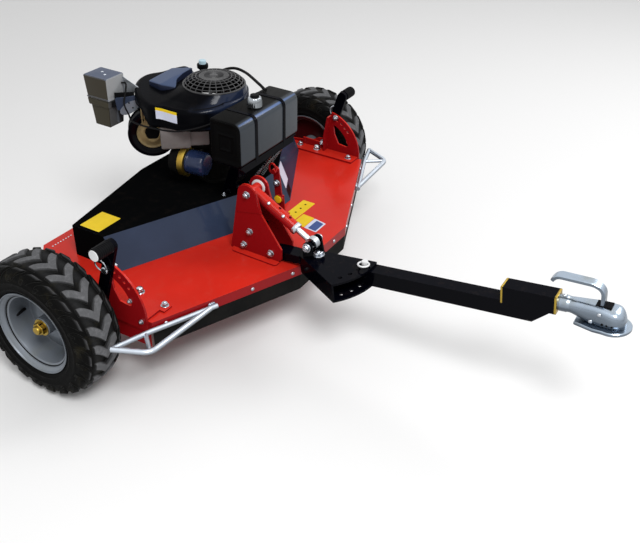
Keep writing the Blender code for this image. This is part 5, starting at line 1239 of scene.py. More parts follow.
def section(s, half, low, high, power, sides=72):
    """One closed cross section at s: a superellipse between the heights low and high."""
    t = (np.arange(sides) + 0.5) * 2 * np.pi / sides
    c, d = np.cos(t), np.sin(t)
    u = np.sign(c) * np.abs(c) ** (2 / power) * half
    h = (low + high) / 2 + np.sign(d) * np.abs(d) ** (2 / power) * (high - low) / 2
    return np.stack([u, np.full(sides, s), h], -1)


def coupler_head():
    """Rear sleeve, shoulder and nose; past the ball's middle the half width follows the nose's circle."""
    nose = np.radians(np.linspace(2, 88, 12))
    rows = [section(0.8630, 0.0200, AXIS_H - 0.0195, AXIS_H + 0.0190, 2.2),
            section(0.8700, 0.0210, AXIS_H - 0.0200, 0.0575, 2.3),
            section(0.8850, 0.0216, 0.0130, 0.0580, 2.6), section(0.9050, 0.0235, 0.0060, 0.0580, 3.0),
            section(0.9250, 0.0265, 0.0030, 0.0578, 3.4), section(0.9420, 0.0295, 0.0020, 0.0565, 3.6),
            section(0.9550, 0.0315, 0.0020, 0.0545, 3.6)]
    rows += [section(BALL_S + 0.0318 * np.sin(a), 0.0318 * np.cos(a) + 0.001, 0.0020,
                     0.0530 - 0.030 * np.sin(a) ** 3.0, 3.2)
             for a in nose]
    return loft(rows)


def coupler_flange():
    """The pressed rim round the foot, with a rolled edge."""
    angle = np.radians(np.linspace(160, 380, 40))
    arc_points = np.column_stack([0.0450 * np.cos(angle), -BALL_S + 0.0450 * np.sin(angle)])
    plan = np.vstack([[(0.024, -0.878), (-0.024, -0.878), (-0.040, -0.925)], arc_points, [(0.040, -0.925)]])
    points, faces = slab(plan, -0.0030, 0.0070, "Z", 0.0022)
    return points * (1, -1, 1), faces


def shank():
    """Round rings of five radii along the bar, skinned: u = r cos t, h = axis + r sin t."""
    t = around(64)
    rings = [np.stack([r * np.cos(t), np.full(64, s), AXIS_H + r * np.sin(t)], -1)
             for s,
             r in ((0.8010, 0.0204), (0.8380, 0.0204), (0.8390, 0.0216), (0.8560, 0.0216), (0.8575, 0.0205),
                   (0.8700, 0.0200))]
    return loft(rings)


piece("coupler_pressing", on_bar(join(coupler_head(), coupler_flange(), shank())), COUPLER_ZINC, "drawbar",
      "coupler_body", angle=35)
SIDES = [BAR_FRAME.to_3x3() @ Vector((u, 0, 0)) for u in (-1, 1)]
spots = [(bar_place(0, 0.8470, AXIS_H + 0.0214), upright)]
spots += [(bar_place(u * 0.0262, 0.9180, 0.0180), SIDES[(u + 1) // 2]) for u in (-1, 1)]
spots += [(bar_place(u * 0.0300, 0.938, 0.043), SIDES[(u + 1) // 2]) for u in (-1, 1)]
piece("coupler_rivets", set_down(dome_bolt(0.0052, 0.0036), spots), ZINC, "drawbar")
dimple = turned([(0, 0), (0.0030, 0), (0.0030, 0.0006), (0, 0.0006)], 20)
spots = [(bar_place(-0.0305 - 0.0006 * i, 0.946 + 0.0115 * i, 0.0180), SIDES[0]) for i in range(3)]
spots += [(bar_place(0.0305 + 0.0006 * i, 0.946 + 0.0115 * i, 0.0180), SIDES[1]) for i in range(3)]
piece("coupler_sight_holes", set_down(dimple, spots), PLASTIC, "drawbar")
slot = box((-0.0140, 0.924, 0.0480), (0.0140, 0.962, 0.0584), 0.0010)
piece("coupler_slot", on_bar(slot), PLASTIC, "drawbar")

# %% Coupler handle
def handle():
    """A channel bent from the latch up and back over the shank: one profile carried along a bent middle line."""
    line = rounded([(-0.940, 0.040), (-0.940, 0.096), (-0.920, 0.1105), (-0.828, 0.1155), (-0.8165, 0.1000)], 0.0130,
                   8)
    line = line[line[:, 1] > 0.0395]
    step = unit(np.gradient(line, axis=0))
    side = np.column_stack([-step[:, 1], step[:, 0]])
    half = np.interp(np.arange(len(line)), (0, 8, 14, len(line) - 8, len(line) - 1),
                     (0.0125, 0.0125, 0.0140, 0.0146, 0.0120))
    thick = np.full(len(line), 0.0046)
    profile = np.array([(-1, -1.0), (-1, 0.55), (-0.84, 1.0), (0.84, 1.0), (1, 0.55), (1, -1.0), (0.78, -1.0),
                        (0.78, 0.10),
                        (-0.78, 0.10), (-0.78, -1.0)])
    u = half[:, None] * profile[None, :, 0]
    off = thick[:, None] * profile[None, :, 1]
    place = line[:, None] + side[:, None] * off[..., None]
    rows = np.stack([u, -place[..., 0], place[..., 1]], -1)
    return loft(rows)


boss = turned([(0, -0.0142), (0.0105, -0.0142), (0.0115, -0.0130), (0.0115, 0.0130), (0.0105, 0.0142), (0, 0.0142)],
              40, "X",
              (0, 0.938, 0.043))
piece("coupler_handle_channel", on_bar(join(handle(), boss)), COUPLER_ZINC, "coupler_handle", "coupler_handle",
      angle=35, bevel=0.0006)
print("hitch dressed")

# %% [markdown]
# ## Wheel guards
# Each guard is two bent tubes and a strut, welded flat and bolted under the deck's front lip. A real bend is round,
# so the tube's middle line gets a short curve at each corner, and a circle is carried along it.

# %% Guards
DECK_HALF, DECK_FRONT_HALF, DECK_FRONT, DECK_SIDE_FRONT = 0.577, 0.132, -0.446, -0.262
GUARD_Z, LIP_Z = 0.217, 0.2180
LIP_SLOPE = (DECK_SIDE_FRONT - DECK_FRONT) / (DECK_HALF - DECK_FRONT_HALF)
LIP_OUT = np.array((LIP_SLOPE, -1.0)) / math.hypot(1, LIP_SLOPE)


def on_lip(side, x, off, z):
    """A point off the front lip's face: y follows the lip's straight line, then the point moves out square to it."""
    y = DECK_SIDE_FRONT - (DECK_HALF - x) * LIP_SLOPE
    return (side * (x + LIP_OUT[0] * off), y + LIP_OUT[1] * off, z)


def guard(side):
    """Rail along the lip to the elbow and out to the tip, the outer tube back to the lip, and the strut."""
    elbow = on_lip(side, DECK_HALF + 0.023, 0.0093, GUARD_Z)
    tip = (side * 0.700, -0.230, GUARD_Z)
    corner = (side * 0.655, -0.322, GUARD_Z - 0.002)
    start = on_lip(side, DECK_HALF - 0.177, 0.0093, GUARD_Z)
    end = on_lip(side, DECK_HALF - 0.157, 0.0093, GUARD_Z - 0.001)
    rail = tube(rounded([start, elbow, tip], 0.020, 10), 0.0074, 20)
    outer = tube(rounded([tip, corner, end], 0.022, 12), 0.0080, 20)
    strut = tube(np.linspace(elbow, corner, 3), 0.0058, 16)
    return join(rail, outer, strut)


for word, side in BOTH_SIDES:
    piece(word + "_guard_tubes", guard(side), GALVANISED, "deck", word + "_wheel_guard", angle=60)
    eye_plate = rounded_outline([(-0.010, -0.010), (0.012, -0.010), (0.012, 0.010), (-0.010, 0.010)], 0.006, 6)
    turn = Vector((side * LIP_OUT[0], LIP_OUT[1], 0)).to_track_quat("Z", "Y").to_matrix().to_4x4()
    flat = Matrix.Translation(on_lip(side, 0.4130, 0.0003, LIP_Z)) @ turn
    ear = placed(slab(eye_plate, 0, 0.0040, "Z", 0.0005), flat)
    nut = placed(MIDDLE, flat @ Matrix.Translation((0, 0, 0.0035)) @ Matrix.Scale(0.72, 4))
    piece(word + "_guard_ear", join(ear, nut), GALVANISED, "deck", angle=30)
print("guards made")

# %% [markdown]
# ## Bolts of the deck
# Small bolts hold the rubber skirt behind the front lips, rivets hold the rear one, and larger bolts hold the
# brackets.

# %% Deck bolts
lip = [(on_lip(side, x, 0.0, LIP_Z), (side * LIP_OUT[0], LIP_OUT[1], 0)) for side in (-1, 1) for x in (0.160, 0.288,
                                                                                                       0.540)]
lip += [((x, DECK_FRONT, LIP_Z), (0, -1, 0)) for x in (-0.06, 0.06)]
piece("lip_bolts", set_down(dome_bolt(0.0058, 0.0040), lip), ZINC, "deck")
rivets = [((side * x, 0.232, DECK_TOP), UP) for side in (-1, 1) for x in np.linspace(0.372, 0.446, 8)]
piece("rear_rivets", set_down(dome_bolt(0.0026, 0.0016), rivets), ZINC, "deck")
FOOT_TOP = 0.2413
feet = [((side * 0.556, -0.014, FOOT_TOP), UP) for side in (-1, 1)] + [((0.551, -0.220, FOOT_TOP), UP),
                                                                       ((-0.503, -0.245, 0.2400), UP)]
piece("bracket_bolts", set_down(MIDDLE, feet), ZINC, "deck", angle=30)
tall = join(hex_bolt(0.0190, 0.0090, 0.0135), placed(dome_bolt(0.0095, 0.0080), Matrix.Translation((0, 0, 0.009))))
piece("bracket_coach_bolts",
      set_down(tall,
               [((0.556, -0.086, FOOT_TOP), UP), ((-0.556, -0.086, FOOT_TOP), UP), ((-0.486, -0.142, 0.2350), UP)]),
      ZINC, "deck", angle=30)
INNER_FACE, OUTER_FACE = 0.5773, 0.5833
nuts = [((side * INNER_FACE, y, z), (-side, 0, 0)) for side in (-1, 1) for y, z in ((-0.149, 0.371), (-0.098, 0.262))]
piece("quadrant_nuts", set_down(hex_bolt(0.0150, 0.0090, 0.0100), nuts), ZINC, "deck", angle=30)
nuts = [((side * OUTER_FACE, y, z), (side, 0, 0)) for side in (-1, 1) for y, z in ((-0.232, 0.231), (-0.200, 0.286))]
piece("quadrant_outer_bolts", set_down(SMALL, nuts), ZINC, "deck", angle=30)


def foot_tabs():
    """The near bracket's foot runs on as a thin tab with a round corner, and the far one has an upright tab."""
    plan = rounded_outline([(-0.5262, -0.176), (-0.500, -0.184), (-0.489, -0.262), (-0.5262, -0.262)],
                           (0.001, 0.006, 0.010, 0.001), 6)
    near = slab(plan, DECK_TOP + 0.0002, DECK_TOP + 0.0050, "Z", 0.0006)
    upright_tab = slab([(-0.100, 0.2400), (-0.012, 0.2400), (-0.016, 0.2660), (-0.088, 0.2640)], 0.5712, 0.5770, "X",
                       0.0006)
    return join(near, upright_tab)


piece("bracket_tabs", foot_tabs(), RED, "deck", bevel=0.0005)
print("bolts set:", len(lip) + len(rivets) + len(feet))

# %% [markdown]
# ## Height levers
# A rubber sleeve with a pale end cap covers each handle. The stub axle ends in a plated nut with a grease cap.

# %% Grips and axle nuts
LEVER_TOP = (-0.1666, 0.4511)  # y and z of the handle


def grip(side):
    """A sleeve with fine rings: radius = r + a cos(8 turns), then a smooth collar."""
    x = np.linspace(0.5990, 0.6500, 61)
    radius = 0.0180 + 0.0004 * np.cos((x - 0.599) / 0.0510 * 16 * np.pi) * (x < 0.644) + 0.0006 * (x < 0.6015)
    knots = [(0.0, 0.5990), *zip(radius, x), (0.0168, 0.6516), (0.0, 0.6516)]
    return turned([(r, side * h) for r, h in knots], 40, "X", (0, *LEVER_TOP))


def axle_nut(side):
    """Plated nut over the axle's end, with a low domed grease cap."""
    out = WHEEL_TRACK + 0.0303
    seat = Matrix.Translation((side * out, 0, AXLE_HEIGHT)) @ Matrix.Rotation(side * math.pi / 2, 4, "Y")
    washer = turned([(0.0, 0.0), (0.0245, 0.0), (0.0250, 0.0008), (0.0245, 0.0022), (0.0, 0.0022)], 48)
    nut = slab(hexagon(0.0330), 0.0020, 0.0140, "Z", 0.0016)
    cap = turned([(0.0, 0.0130), (0.0125, 0.0130), (0.0125, 0.0190), (0.0112, 0.0215), (0.0, 0.0225)], 40)
    return placed(join(washer, nut, cap), seat)


for word, side in BOTH_SIDES:
    piece(word + "_grip_sleeve", grip(side), PLASTIC, word + "_wheel_arm", angle=30)
    end = turned([(0.0, 0.6512), (0.0150, 0.6512), (0.0156, 0.6518), (0.0150, 0.6534), (0.0, 0.6536)], 40)
    cap_at = Matrix.Translation((0, *LEVER_TOP)) @ Matrix.Rotation(side * math.pi / 2, 4, "Y")
    piece(word + "_grip_cap", placed(end, cap_at), WHITE, word + "_wheel_arm")
    piece(word + "_axle_nut", axle_nut(side), YELLOW_ZINC, word + "_wheel_arm", angle=30)


ARM_PIVOT, HOLE_ARC, FIRST_HOLE = (-0.098, 0.240), 0.134, math.radians(18)
PIN_HEAD, RING_RADIUS = 0.5939, 0.0185


def height_pin(side):
    """Pin through lever and quadrant. Its stiff pull ring stands up and back, clear of the tyre at every stroke."""
    y = ARM_PIVOT[0] - HOLE_ARC * math.sin(FIRST_HOLE)
    z = ARM_PIVOT[1] + HOLE_ARC * math.cos(FIRST_HOLE)
    head = PIN_HEAD
    profile = [(0.0, head - 0.0095), (0.0056, head - 0.0095), (0.0056, head), (0.0098, head + 0.0002),
               (0.0100, head + 0.0012),
               (0.0100, head + 0.0072), (0.0090, head + 0.0085), (0.0, head + 0.0088)]
    shank = turned([(r, side * x) for r, x in profile], 36, "X", (0, y, z))
    t = around(56)
    ring_path = np.stack([side * (head + 0.0080 + 0.0020 * np.sin(t)), y + 0.0092 + RING_RADIUS * np.cos(t),
                          z + 0.0160 + RING_RADIUS * np.sin(t)], -1)
    return join(shank, tube(ring_path, 0.0022, 12, closed=True))


for word, side in BOTH_SIDES:
    piece(word + "_pin_and_ring", height_pin(side), ZINC, word + "_height_pin", word + "_height_pin", angle=40)
print("levers dressed")

# %% [markdown]
# ## Plain panels
# The machine carries a few coloured foils. They are made as bare thin panels with round corners and no lettering.

# %% Panels
YELLOW = grained("yellow foil", "grey_plastic", (0.80, 0.56, 0.010), (0.72, 0.50, 0.010), 0.4, 900.0, 0.00003, 0.0,
                 0.2)
PALE = grained("pale foil", "grey_plastic", (0.62, 0.66, 0.78), (0.54, 0.58, 0.72), 0.4, 900.0, 0.00003, 0.0, 0.2)
BLUE = grained("blue foil", "grey_plastic", (0.040, 0.075, 0.24), (0.032, 0.060, 0.20), 0.4, 900.0, 0.00003, 0.0, 0.2)


def foil(corners, low, thick=0.0006, radius=0.003):
    """A level panel: the rounded outline at two heights."""
    return slab(rounded_outline(corners, radius, 5), low, low + thick, "Z", 0.0001)


def on_slope(along, up, lift):
    """Points of the cover's left slanted face: p = foot + along (end - foot) + up (rise), moved out by the lift."""
    foot, end, rise = np.array((0.180, -0.209, 0.2353)), np.array((0.523, -0.029, 0.2353)), np.array((0, 0.049,
                                                                                                      0.0997))
    out = np.cross(rise, end - foot)
    out *= -np.sign(out[1]) / np.linalg.norm(out)
    return foot + along[..., None] * (end - foot) + up[..., None] * rise + out * lift


def slope_foil(first, last, low, high):
    """A panel on the slanted face, given in shares along and up the face."""
    corners = rounded_outline([(first, low), (last, low), (last, high), (first, high)], 0.02, 5)
    rings = [on_slope(corners[:, 0], corners[:, 1], lift) for lift in (-0.0003, 0.0006)]
    return loft(rings)


piece("cover_foil", foil([(-0.428, 0.049), (-0.336, 0.049), (-0.336, 0.122), (-0.428, 0.122)], COVER_TOP - 0.0002),
      YELLOW, "deck")
deck_strip = foil([(0.070, -0.290), (0.205, -0.290), (0.205, -0.245), (0.070, -0.245)], DECK_TOP - 0.0002)
piece("deck_foil",
      join(deck_strip, foil([(0.056, -0.338), (0.122, -0.338), (0.126, -0.294), (0.064, -0.294)], DECK_TOP - 0.0002)),
      YELLOW, "deck")
piece("deck_foil_pale", foil([(0.050, -0.386), (0.112, -0.386), (0.121, -0.340), (0.055, -0.340)], DECK_TOP - 0.0003),
      PALE, "deck")
piece("deck_foil_blue", foil([(0.055, -0.381), (0.106, -0.381), (0.113, -0.352), (0.059, -0.352)], DECK_TOP), BLUE,
      "deck")
studs = [((x, -0.267, 0.2353), UP) for x in (0.092, 0.122, 0.152, 0.182)]
piece("deck_foil_studs", set_down(dome_bolt(0.0034, 0.0016), studs), PLASTIC, "deck")
piece("slope_foil", slope_foil(0.012, 0.190, 0.36, 0.96), PALE, "deck", angle=30)
piece("slope_foil_dark", slope_foil(0.012, 0.150, 0.06, 0.30), PLASTIC, "deck", angle=30)
print("foils:", 7)

# %% [markdown]
# ## Clutch lever
# The lever's boss carries a yellow cap and a bolt, and a loop stands on its top end. Two coil springs and two bent
# rods run from the tank frame to the cover. A spring's wire is a helix, p = axis + r (cos t, sin t).

# %% Clutch details
LEVER_Y, LEVER_Z = -0.236, 0.300
boss_cap = turned([(0.0, 0.0), (0.0120, 0.0), (0.0128, 0.0008), (0.0125, 0.0030), (0.0080, 0.0042), (0.0, 0.0044)],
                  48)
left_of_lever = Matrix.Translation((0.0663, LEVER_Y, LEVER_Z)) @ Matrix.Rotation(-math.pi / 2, 4, "Y")
piece("clutch_boss_cap", placed(boss_cap, left_of_lever), YELLOW, "clutch_lever")
loop_t = around(48)
loop = np.stack([np.full(48, 0.0600), LEVER_Y + 0.016 + 0.0115 * np.cos(loop_t),
                 LEVER_Z + 0.106 + 0.0165 * np.sin(loop_t)], -1)
piece("clutch_loop", tube(loop, 0.0032, 12, closed=True), RED, "clutch_lever")
piece("clutch_bolt", set_down(MIDDLE, [((0.0675, LEVER_Y + 0.006, LEVER_Z + 0.055), (-1, 0, 0))]), ZINC,
      "clutch_lever", angle=30)


def spring(start, end, radius, wire, turns):
    """Straight end, coils and straight end as one wire: the coils' radius opens from nothing at both ends."""
    start, end = Vector(start), Vector(end)
    share = np.linspace(0, 1, turns * 14)
    body = np.clip((share - 0.12) / 0.76, 0, 1)
    open_by = np.clip(np.minimum(share - 0.10, 0.90 - share) / 0.03, 0, 1)
    t = body * turns * 2 * np.pi
    height = share * (end - start).length
    path = np.stack([radius * open_by * np.cos(t), radius * open_by * np.sin(t), height], -1)
    return placed(tube(path, wire, 8), aim(start, end - start))


springs = join(spring((0.055, -0.2400, 0.4740), (0.022, -0.1450, 0.3352), 0.0042, 0.0008, 15),
               spring((0.088, -0.2400, 0.4740), (0.095, -0.1450, 0.3352), 0.0038, 0.0007, 16))
piece("tank_frame_springs", springs, STEEL, "deck", angle=60)
rods = join(tube(rounded([(0.100, -0.2400, 0.4760), (0.104, -0.215, 0.440), (0.060, -0.168, 0.380),
                          (0.052, -0.140, 0.3352)], 0.012, 8), 0.0022, 12),
            tube(rounded([(0.030, -0.2400, 0.4740), (0.040, -0.205, 0.420), (0.046, -0.150, 0.3352)], 0.012, 8),
                 0.0018, 12))
piece("tank_frame_rods", rods, ZINC, "deck", angle=60)
post_bolts = [((x, y, COVER_TOP + 0.0002), UP) for x, y in ((-0.056, -0.118), (0.022, -0.118), (0.000, -0.146))]
piece("post_bolts", set_down(SMALL, post_bolts), ZINC, "deck", angle=30)
print("clutch and tank frame dressed")

# %% [markdown]
# ## Control box
# A tapered box hangs beside the cowl on a bent arm: a sheet cover above, pale on its front where light is painted on
# it, a black moulded housing with steps below, a bright gusset, and an oval plate with three holes that clamps the
# cable.

# %% Control box
BOX = Finish("control box paint", "grey_plastic")
# The box takes its colours by the way each face turns: a painted sky reflection on top, painted light on the front,
# painted shade on the side, and painted highlights on the edges.
front, aside, over = -BOX.facing("Y"), -BOX.facing("X"), BOX.facing("Z")
skin = BOX.mix((0.085, 0.090, 0.100), (0.055, 0.072, 0.120), over.step(0.5, 0.9))
skin = BOX.mix(skin, (0.32, 0.33, 0.34), front.step(0.5, 0.9))
skin = BOX.mix(skin, (0.040, 0.034, 0.022), aside.step(0.5, 0.9))
skin = BOX.mix(skin, (0.50, 0.53, 0.60), BOX.edges(0.0018) * 0.6)
BOX_PAINT = BOX.set(Base_Color=skin, Roughness=0.34 + BOX.noise(20.0).step(0.4, 0.7) * 0.08, Specular_IOR_Level=0.15)


def tapered(first, last, radius):
    """A box whose plan changes evenly from its foot to its top: two rounded rectangles and drawn-in ends."""
    rings = []
    for (x0, x1, y0, y1, z), inset, rise in ((first, 0.0015, 0.0), (first, 0.0, 0.0018), (last, 0.0, -0.0022),
                                             (last, 0.0020, 0.0)):
        corners = [(x0 + inset, y0 + inset), (x1 - inset, y0 + inset), (x1 - inset, y1 - inset),
                   (x0 + inset, y1 - inset)]
        plan = rounded_outline(corners, radius, 5)
        rings.append(np.column_stack([plan, np.full(len(plan), z + rise)]))
    return loft(rings)


upper = tapered((-0.142, -0.066, 0.238, 0.322, 0.5865), (-0.146, -0.068, 0.234, 0.326, 0.6570), 0.004)
seam = tapered((-0.1440, -0.0650, 0.2360, 0.3240, 0.5855), (-0.1440, -0.0650, 0.2360, 0.3240, 0.5915), 0.004)
piece("control_box_cover", join(upper, seam), BOX_PAINT, "deck", "control_box", angle=35)
screws = [((x, y, 0.6568), UP) for x, y in ((-0.112, 0.268), (-0.098, 0.292))]
piece("control_box_screws", set_down(dome_bolt(0.0042, 0.0014), screws), ZINC, "deck")
lower = tapered((-0.1385, -0.0775, 0.2445, 0.3060, 0.5000), (-0.1395, -0.0700, 0.2395, 0.3170, 0.5840), 0.005)
shelf = tapered((-0.1440, -0.0690, 0.2380, 0.3190, 0.5640), (-0.1440, -0.0670, 0.2370, 0.3220, 0.5850), 0.004)
pale_rib = box((-0.1080, 0.2375, 0.5060), (-0.1030, 0.2470, 0.5630), 0.0012)
HOUSING = Finish("control housing plastic", "grey_plastic")
# The housing's front takes streaks of painted highlight, and its side a lighter tone of painted light.
front, aside = -HOUSING.facing("Y"), -HOUSING.facing("X")
skin = HOUSING.mix((0.020, 0.021, 0.024), (0.085, 0.086, 0.088),
                   front.step(0.4, 0.9) * HOUSING.noise(16.0).step(0.3, 0.6))
skin = HOUSING.mix(skin, (0.045, 0.040, 0.026), aside.step(0.4, 0.9))
HOUSING_PAINT = HOUSING.set(Base_Color=skin, Roughness=0.36 + HOUSING.noise(20.0).step(0.4, 0.7) * 0.08,
                            Specular_IOR_Level=0.1)
piece("control_box_housing", join(lower, shelf), HOUSING_PAINT, "deck", angle=35)
piece("control_box_rib", pale_rib, GREY, "deck")

# %% Arm, gusset and clamp plate
def across_arm(outline, low, high, edge=0.0004):
    """A flat plate on the arm: an outline in the engine's y and z, thick along the engine's x."""
    return on_engine(slab(outline, low, high, "X", edge))


arm = rounded_outline([(-0.246, 0.5560), (-0.150, 0.5620), (-0.128, 0.6060), (-0.150, 0.6060), (-0.214, 0.5980),
                       (-0.250, 0.5960)],
                      (0.006, 0.012, 0.004, 0.004, 0.010, 0.006), 6)
# Slate bracket paint, with a painted shade on upright faces and pale edges that are part wear, part painted highlight.
SLATE_METAL = paint("slate bracket paint", "black_paint", (0.030, 0.045, 0.085), (0.026, 0.038, 0.070), None, None,
                    0.05, 0.3,
                    (0.5, 0.52, 0.58), 0.15)
piece("control_arm", across_arm(arm, -0.0145, -0.0105), SLATE_METAL, "deck", angle=30)
t = around(40)
oval = np.column_stack([-0.2080 + 0.0300 * np.cos(t) + 0.004 * np.sin(t),
                        0.5640 + 0.0200 * np.sin(t) + 0.010 * np.cos(t)])
GREY_SHEET = grained("grey sheet", "grey_plastic", (0.20, 0.22, 0.26), (0.16, 0.18, 0.22), 0.35, 700.0, 0.00003, 0.3,
                     0.3)
piece("clamp_plate", across_arm(oval, -0.0105, -0.0080), GREY_SHEET, "deck", angle=30)
holes = [(ENGINE @ Vector((-0.0080, y, z)), ENGINE.to_3x3() @ Vector((1, 0, 0)))
         for y, z in ((-0.209, 0.5800), (-0.199, 0.5640), (-0.219, 0.5560))]
piece("clamp_screws", set_down(dome_bolt(0.0026, 0.0010), holes), PLASTIC, "deck")
bright = rounded_outline([(-0.156, 0.5860), (-0.126, 0.6150), (-0.128, 0.6200), (-0.160, 0.6120), (-0.172, 0.6000)],
                         0.003, 4)
piece("arm_bright_end", across_arm(bright, -0.0105, -0.0085), ZINC, "deck", angle=30)
gusset = rounded_outline([(0.2365, 0.5880), (0.2365, 0.6500), (0.2180, 0.6420), (0.1700, 0.6240), (0.1680, 0.6160),
                          (0.2100, 0.5950)], 0.003, 4)
SHEET = plated("bright sheet", "zinc", (0.60, 0.63, 0.67), (0.5, 0.48, 0.4), 0.1, 0.32, 30.0, 0.75)
piece("control_gusset", slab(gusset, -0.0750, -0.0725, "X", 0.0003), SHEET, "deck", angle=30)

# %% [markdown]
# ## Cylinder
# Under the canopy's end the cast cylinder shows, with upright cooling fins, and the exhaust's stamped lip beside it.

# %% Cylinder fins
def fins():
    """A cast block with thin plates square to the cylinder's axis, each a rounded rectangle."""
    plate = rounded_outline([(0.5350, -0.078), (0.5350, 0.058), (0.5860, 0.058), (0.5860, -0.078)], 0.008, 5)
    sheets = [slab(plate, y, y + 0.0022, "Y", 0.0004) for y in np.arange(-0.174, -0.115, 0.0075)]
    core = box((-0.066, -0.176, 0.5450), (0.044, -0.100, 0.5820), 0.003)
    return on_engine(join(core, *sheets))


piece("cylinder_fins", fins(), CAST, "deck", angle=30)
lip_t = np.linspace(0, 1, 60) * 2 * np.pi
wavy = 0.0250 + 0.0020 * np.sin(lip_t * 5)
mouth = np.stack([np.full(60, MUFFLER[0] + 0.0575), MUFFLER[1] + wavy * np.cos(lip_t),
                  MUFFLER[2] + 0.006 + wavy * np.sin(lip_t)], -1)
piece("muffler_lip", on_engine(tube(mouth[:-1], 0.0026, 10, closed=True)), CAST, "deck", angle=60)
# A dark disc inside the outlet: a painted shade for the inside of the pipe.
bore = turned([(0.0, 0.0510), (0.0225, 0.0510), (0.0225, 0.0588), (0.0, 0.0588)], 40, "X",
              (MUFFLER[0], MUFFLER[1], MUFFLER[2] + 0.006))
piece("muffler_bore", on_engine(bore), SHADE_BLACK, "deck")
print("control box and cylinder made")

# %% [markdown]
# ## Shroud floor
# Nobody can tell from the photograph whether the real cowl is closed below. Here a guessed flat ring lies between the
# fan and the cowl's wall, because the red deck would show more through the screen without it. Its outer edge is
# looked up on the same curve that the cowl was made from.

# %% Shroud floor
RING_SIDES, WALL_SHARE = 180, 0.965
FAN_CLEARANCE, FLOOR_LOW, FLOOR_HIGH = 0.083, 0.5885, 0.5905


def shroud_floor():
    """A flat ring: r runs from the fan's clearance to a share of the wall's distance, at two heights."""
    angle = around(RING_SIDES)
    wall, fan = cowl_reach(angle) * WALL_SHARE, np.full(RING_SIDES, FAN_CLEARANCE)
    radius = np.stack([fan, wall, wall, fan])
    height = np.array([FLOOR_LOW, FLOOR_LOW, FLOOR_HIGH, FLOOR_HIGH])[:, None] + np.zeros((1, RING_SIDES))
    ring = np.stack([CRANK[0] + radius * np.cos(angle), CRANK[1] + radius * np.sin(angle), height], -1)
    return grid(ring, close_rows=True, close_columns=True)


piece("shroud_floor", shroud_floor(), PLASTIC, "deck", angle=30)
print("shroud floor laid round the fan")

# %% [markdown]
# ## Cowl foil
# The cowl's flat side carries a small foil. It follows the wall, so its points are looked up on the wall's own curve.

# %% Cowl foil
def on_cowl_side(y, z, lift):
    """The wall's engine x at each engine y, found on the same curve that the cowl was made from."""
    angle = np.linspace(0, 2 * np.pi, 2881)
    reach = cowl_reach(angle)
    q = in_engine(CRANK[0] + reach * np.cos(angle), CRANK[1] + reach * np.sin(angle))
    side = q[(q[:, 0] > 0.05) & (q[:, 1] > -0.150) & (q[:, 1] < 0.0)]
    side = side[np.argsort(side[:, 1])]
    return np.stack([np.interp(y, side[:, 1], side[:, 0]) + lift, y, z], -1)


def side_foil(y0, y1, z0, z1):
    """A thin sheet on the wall between two engine y and two heights: an outer and an inner skin, joined round."""
    y = np.linspace(y0, y1, 12)[:, None] + np.zeros((1, 2))
    z = np.array([[z0, z1]]) - (y - y0) * 0.10
    front, behind = on_cowl_side(y, z, 0.0010), on_cowl_side(y, z, -0.0008)
    ring = np.stack([front[:, 0], front[:, 1], behind[:, 1], behind[:, 0]], 1)
    return on_engine(loft(ring))


piece("cowl_foil_pale", side_foil(-0.130, -0.070, 0.5740, 0.6000), PALE, "deck", angle=30)
piece("cowl_foil_yellow", side_foil(-0.130, -0.070, 0.6000, 0.6080), YELLOW, "deck", angle=30)
print("cowl foil on the side wall")

# %% [markdown]
# ## Floor and light
# A plain pale floor takes the shadow. Two wide soft lamps light the camera's side, and the world fills the rest. The
# background is white because the world is white where the camera, a gloss or a glass looks at it.


# %% Floor, lamps and world
FLOOR_HALF, WORLD_FILL = 30, 0.55


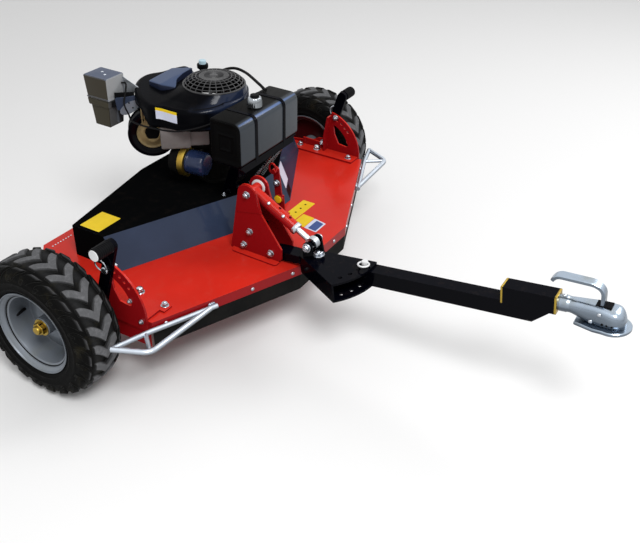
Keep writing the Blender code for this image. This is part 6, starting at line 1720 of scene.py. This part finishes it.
def studio():
    """The floor: one square far wider than the picture, just under the tyres."""
    f = Finish("pale floor", None)
    floor_paint = f.set(Base_Color=(0.86, 0.86, 0.86), Roughness=0.9, Specular_IOR_Level=0.1)
    side = np.linspace(-FLOOR_HALF, FLOOR_HALF, 2)
    spread = np.stack(np.meshgrid(side, side, indexing="ij") + [np.full((2, 2), -0.0006)], -1)
    points, faces = grid(spread)
    mesh = bpy.data.meshes.new("floor")
    mesh.from_pydata(points.tolist(), [], faces[:, ::-1].tolist())
    mesh.materials.append(floor_paint)
    floor = bpy.data.objects.new("floor", mesh)
    bpy.context.scene.collection.objects.link(floor)


def lamp(name, place, size, power):
    """A square soft lamp that looks at the machine."""
    light = bpy.data.lights.new(name, "AREA")
    light.size = size
    light.energy = power
    thing = bpy.data.objects.new(name, light)
    thing.location = Vector(place) + Vector(HOME)
    thing.rotation_euler = (Vector((0, -0.4, 0.3)) - Vector(place)).to_track_quat("-Z", "Y").to_euler()
    bpy.context.scene.collection.objects.link(thing)


studio()
lamp("key", (-2.2, -2.6, 4.2), 1.6, 150)
lamp("rim", (2.6, -2.4, 3.2), 2.0, 60)
world = bpy.data.worlds.new("studio")
world.use_nodes = True
nodes = world.node_tree.nodes
links = world.node_tree.links
path = nodes.new("ShaderNodeLightPath")
seen = path.outputs["Is Camera Ray"]
for other in ("Is Transmission Ray", "Is Glossy Ray"):
    larger = nodes.new("ShaderNodeMath")
    larger.operation = "MAXIMUM"
    links.new(seen, larger.inputs[0])
    links.new(path.outputs[other], larger.inputs[1])
    seen = larger.outputs[0]
level_of = nodes.new("ShaderNodeMapRange")
links.new(seen, level_of.inputs["Value"])
level_of.inputs["To Min"].default_value = WORLD_FILL
level_of.inputs["To Max"].default_value = 1.0
links.new(level_of.outputs[0], nodes["Background"].inputs["Strength"])
nodes["Background"].inputs["Color"].default_value = (1, 1, 1, 1)
bpy.context.scene.world = world
bpy.context.scene.view_settings.view_transform = "Standard"

# %% Sizes and finish
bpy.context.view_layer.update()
with_faces = sum(len(o.data.polygons) for o in bpy.data.objects if o.type == "MESH")
print("pieces made:", len(made), "faces in all:", with_faces)
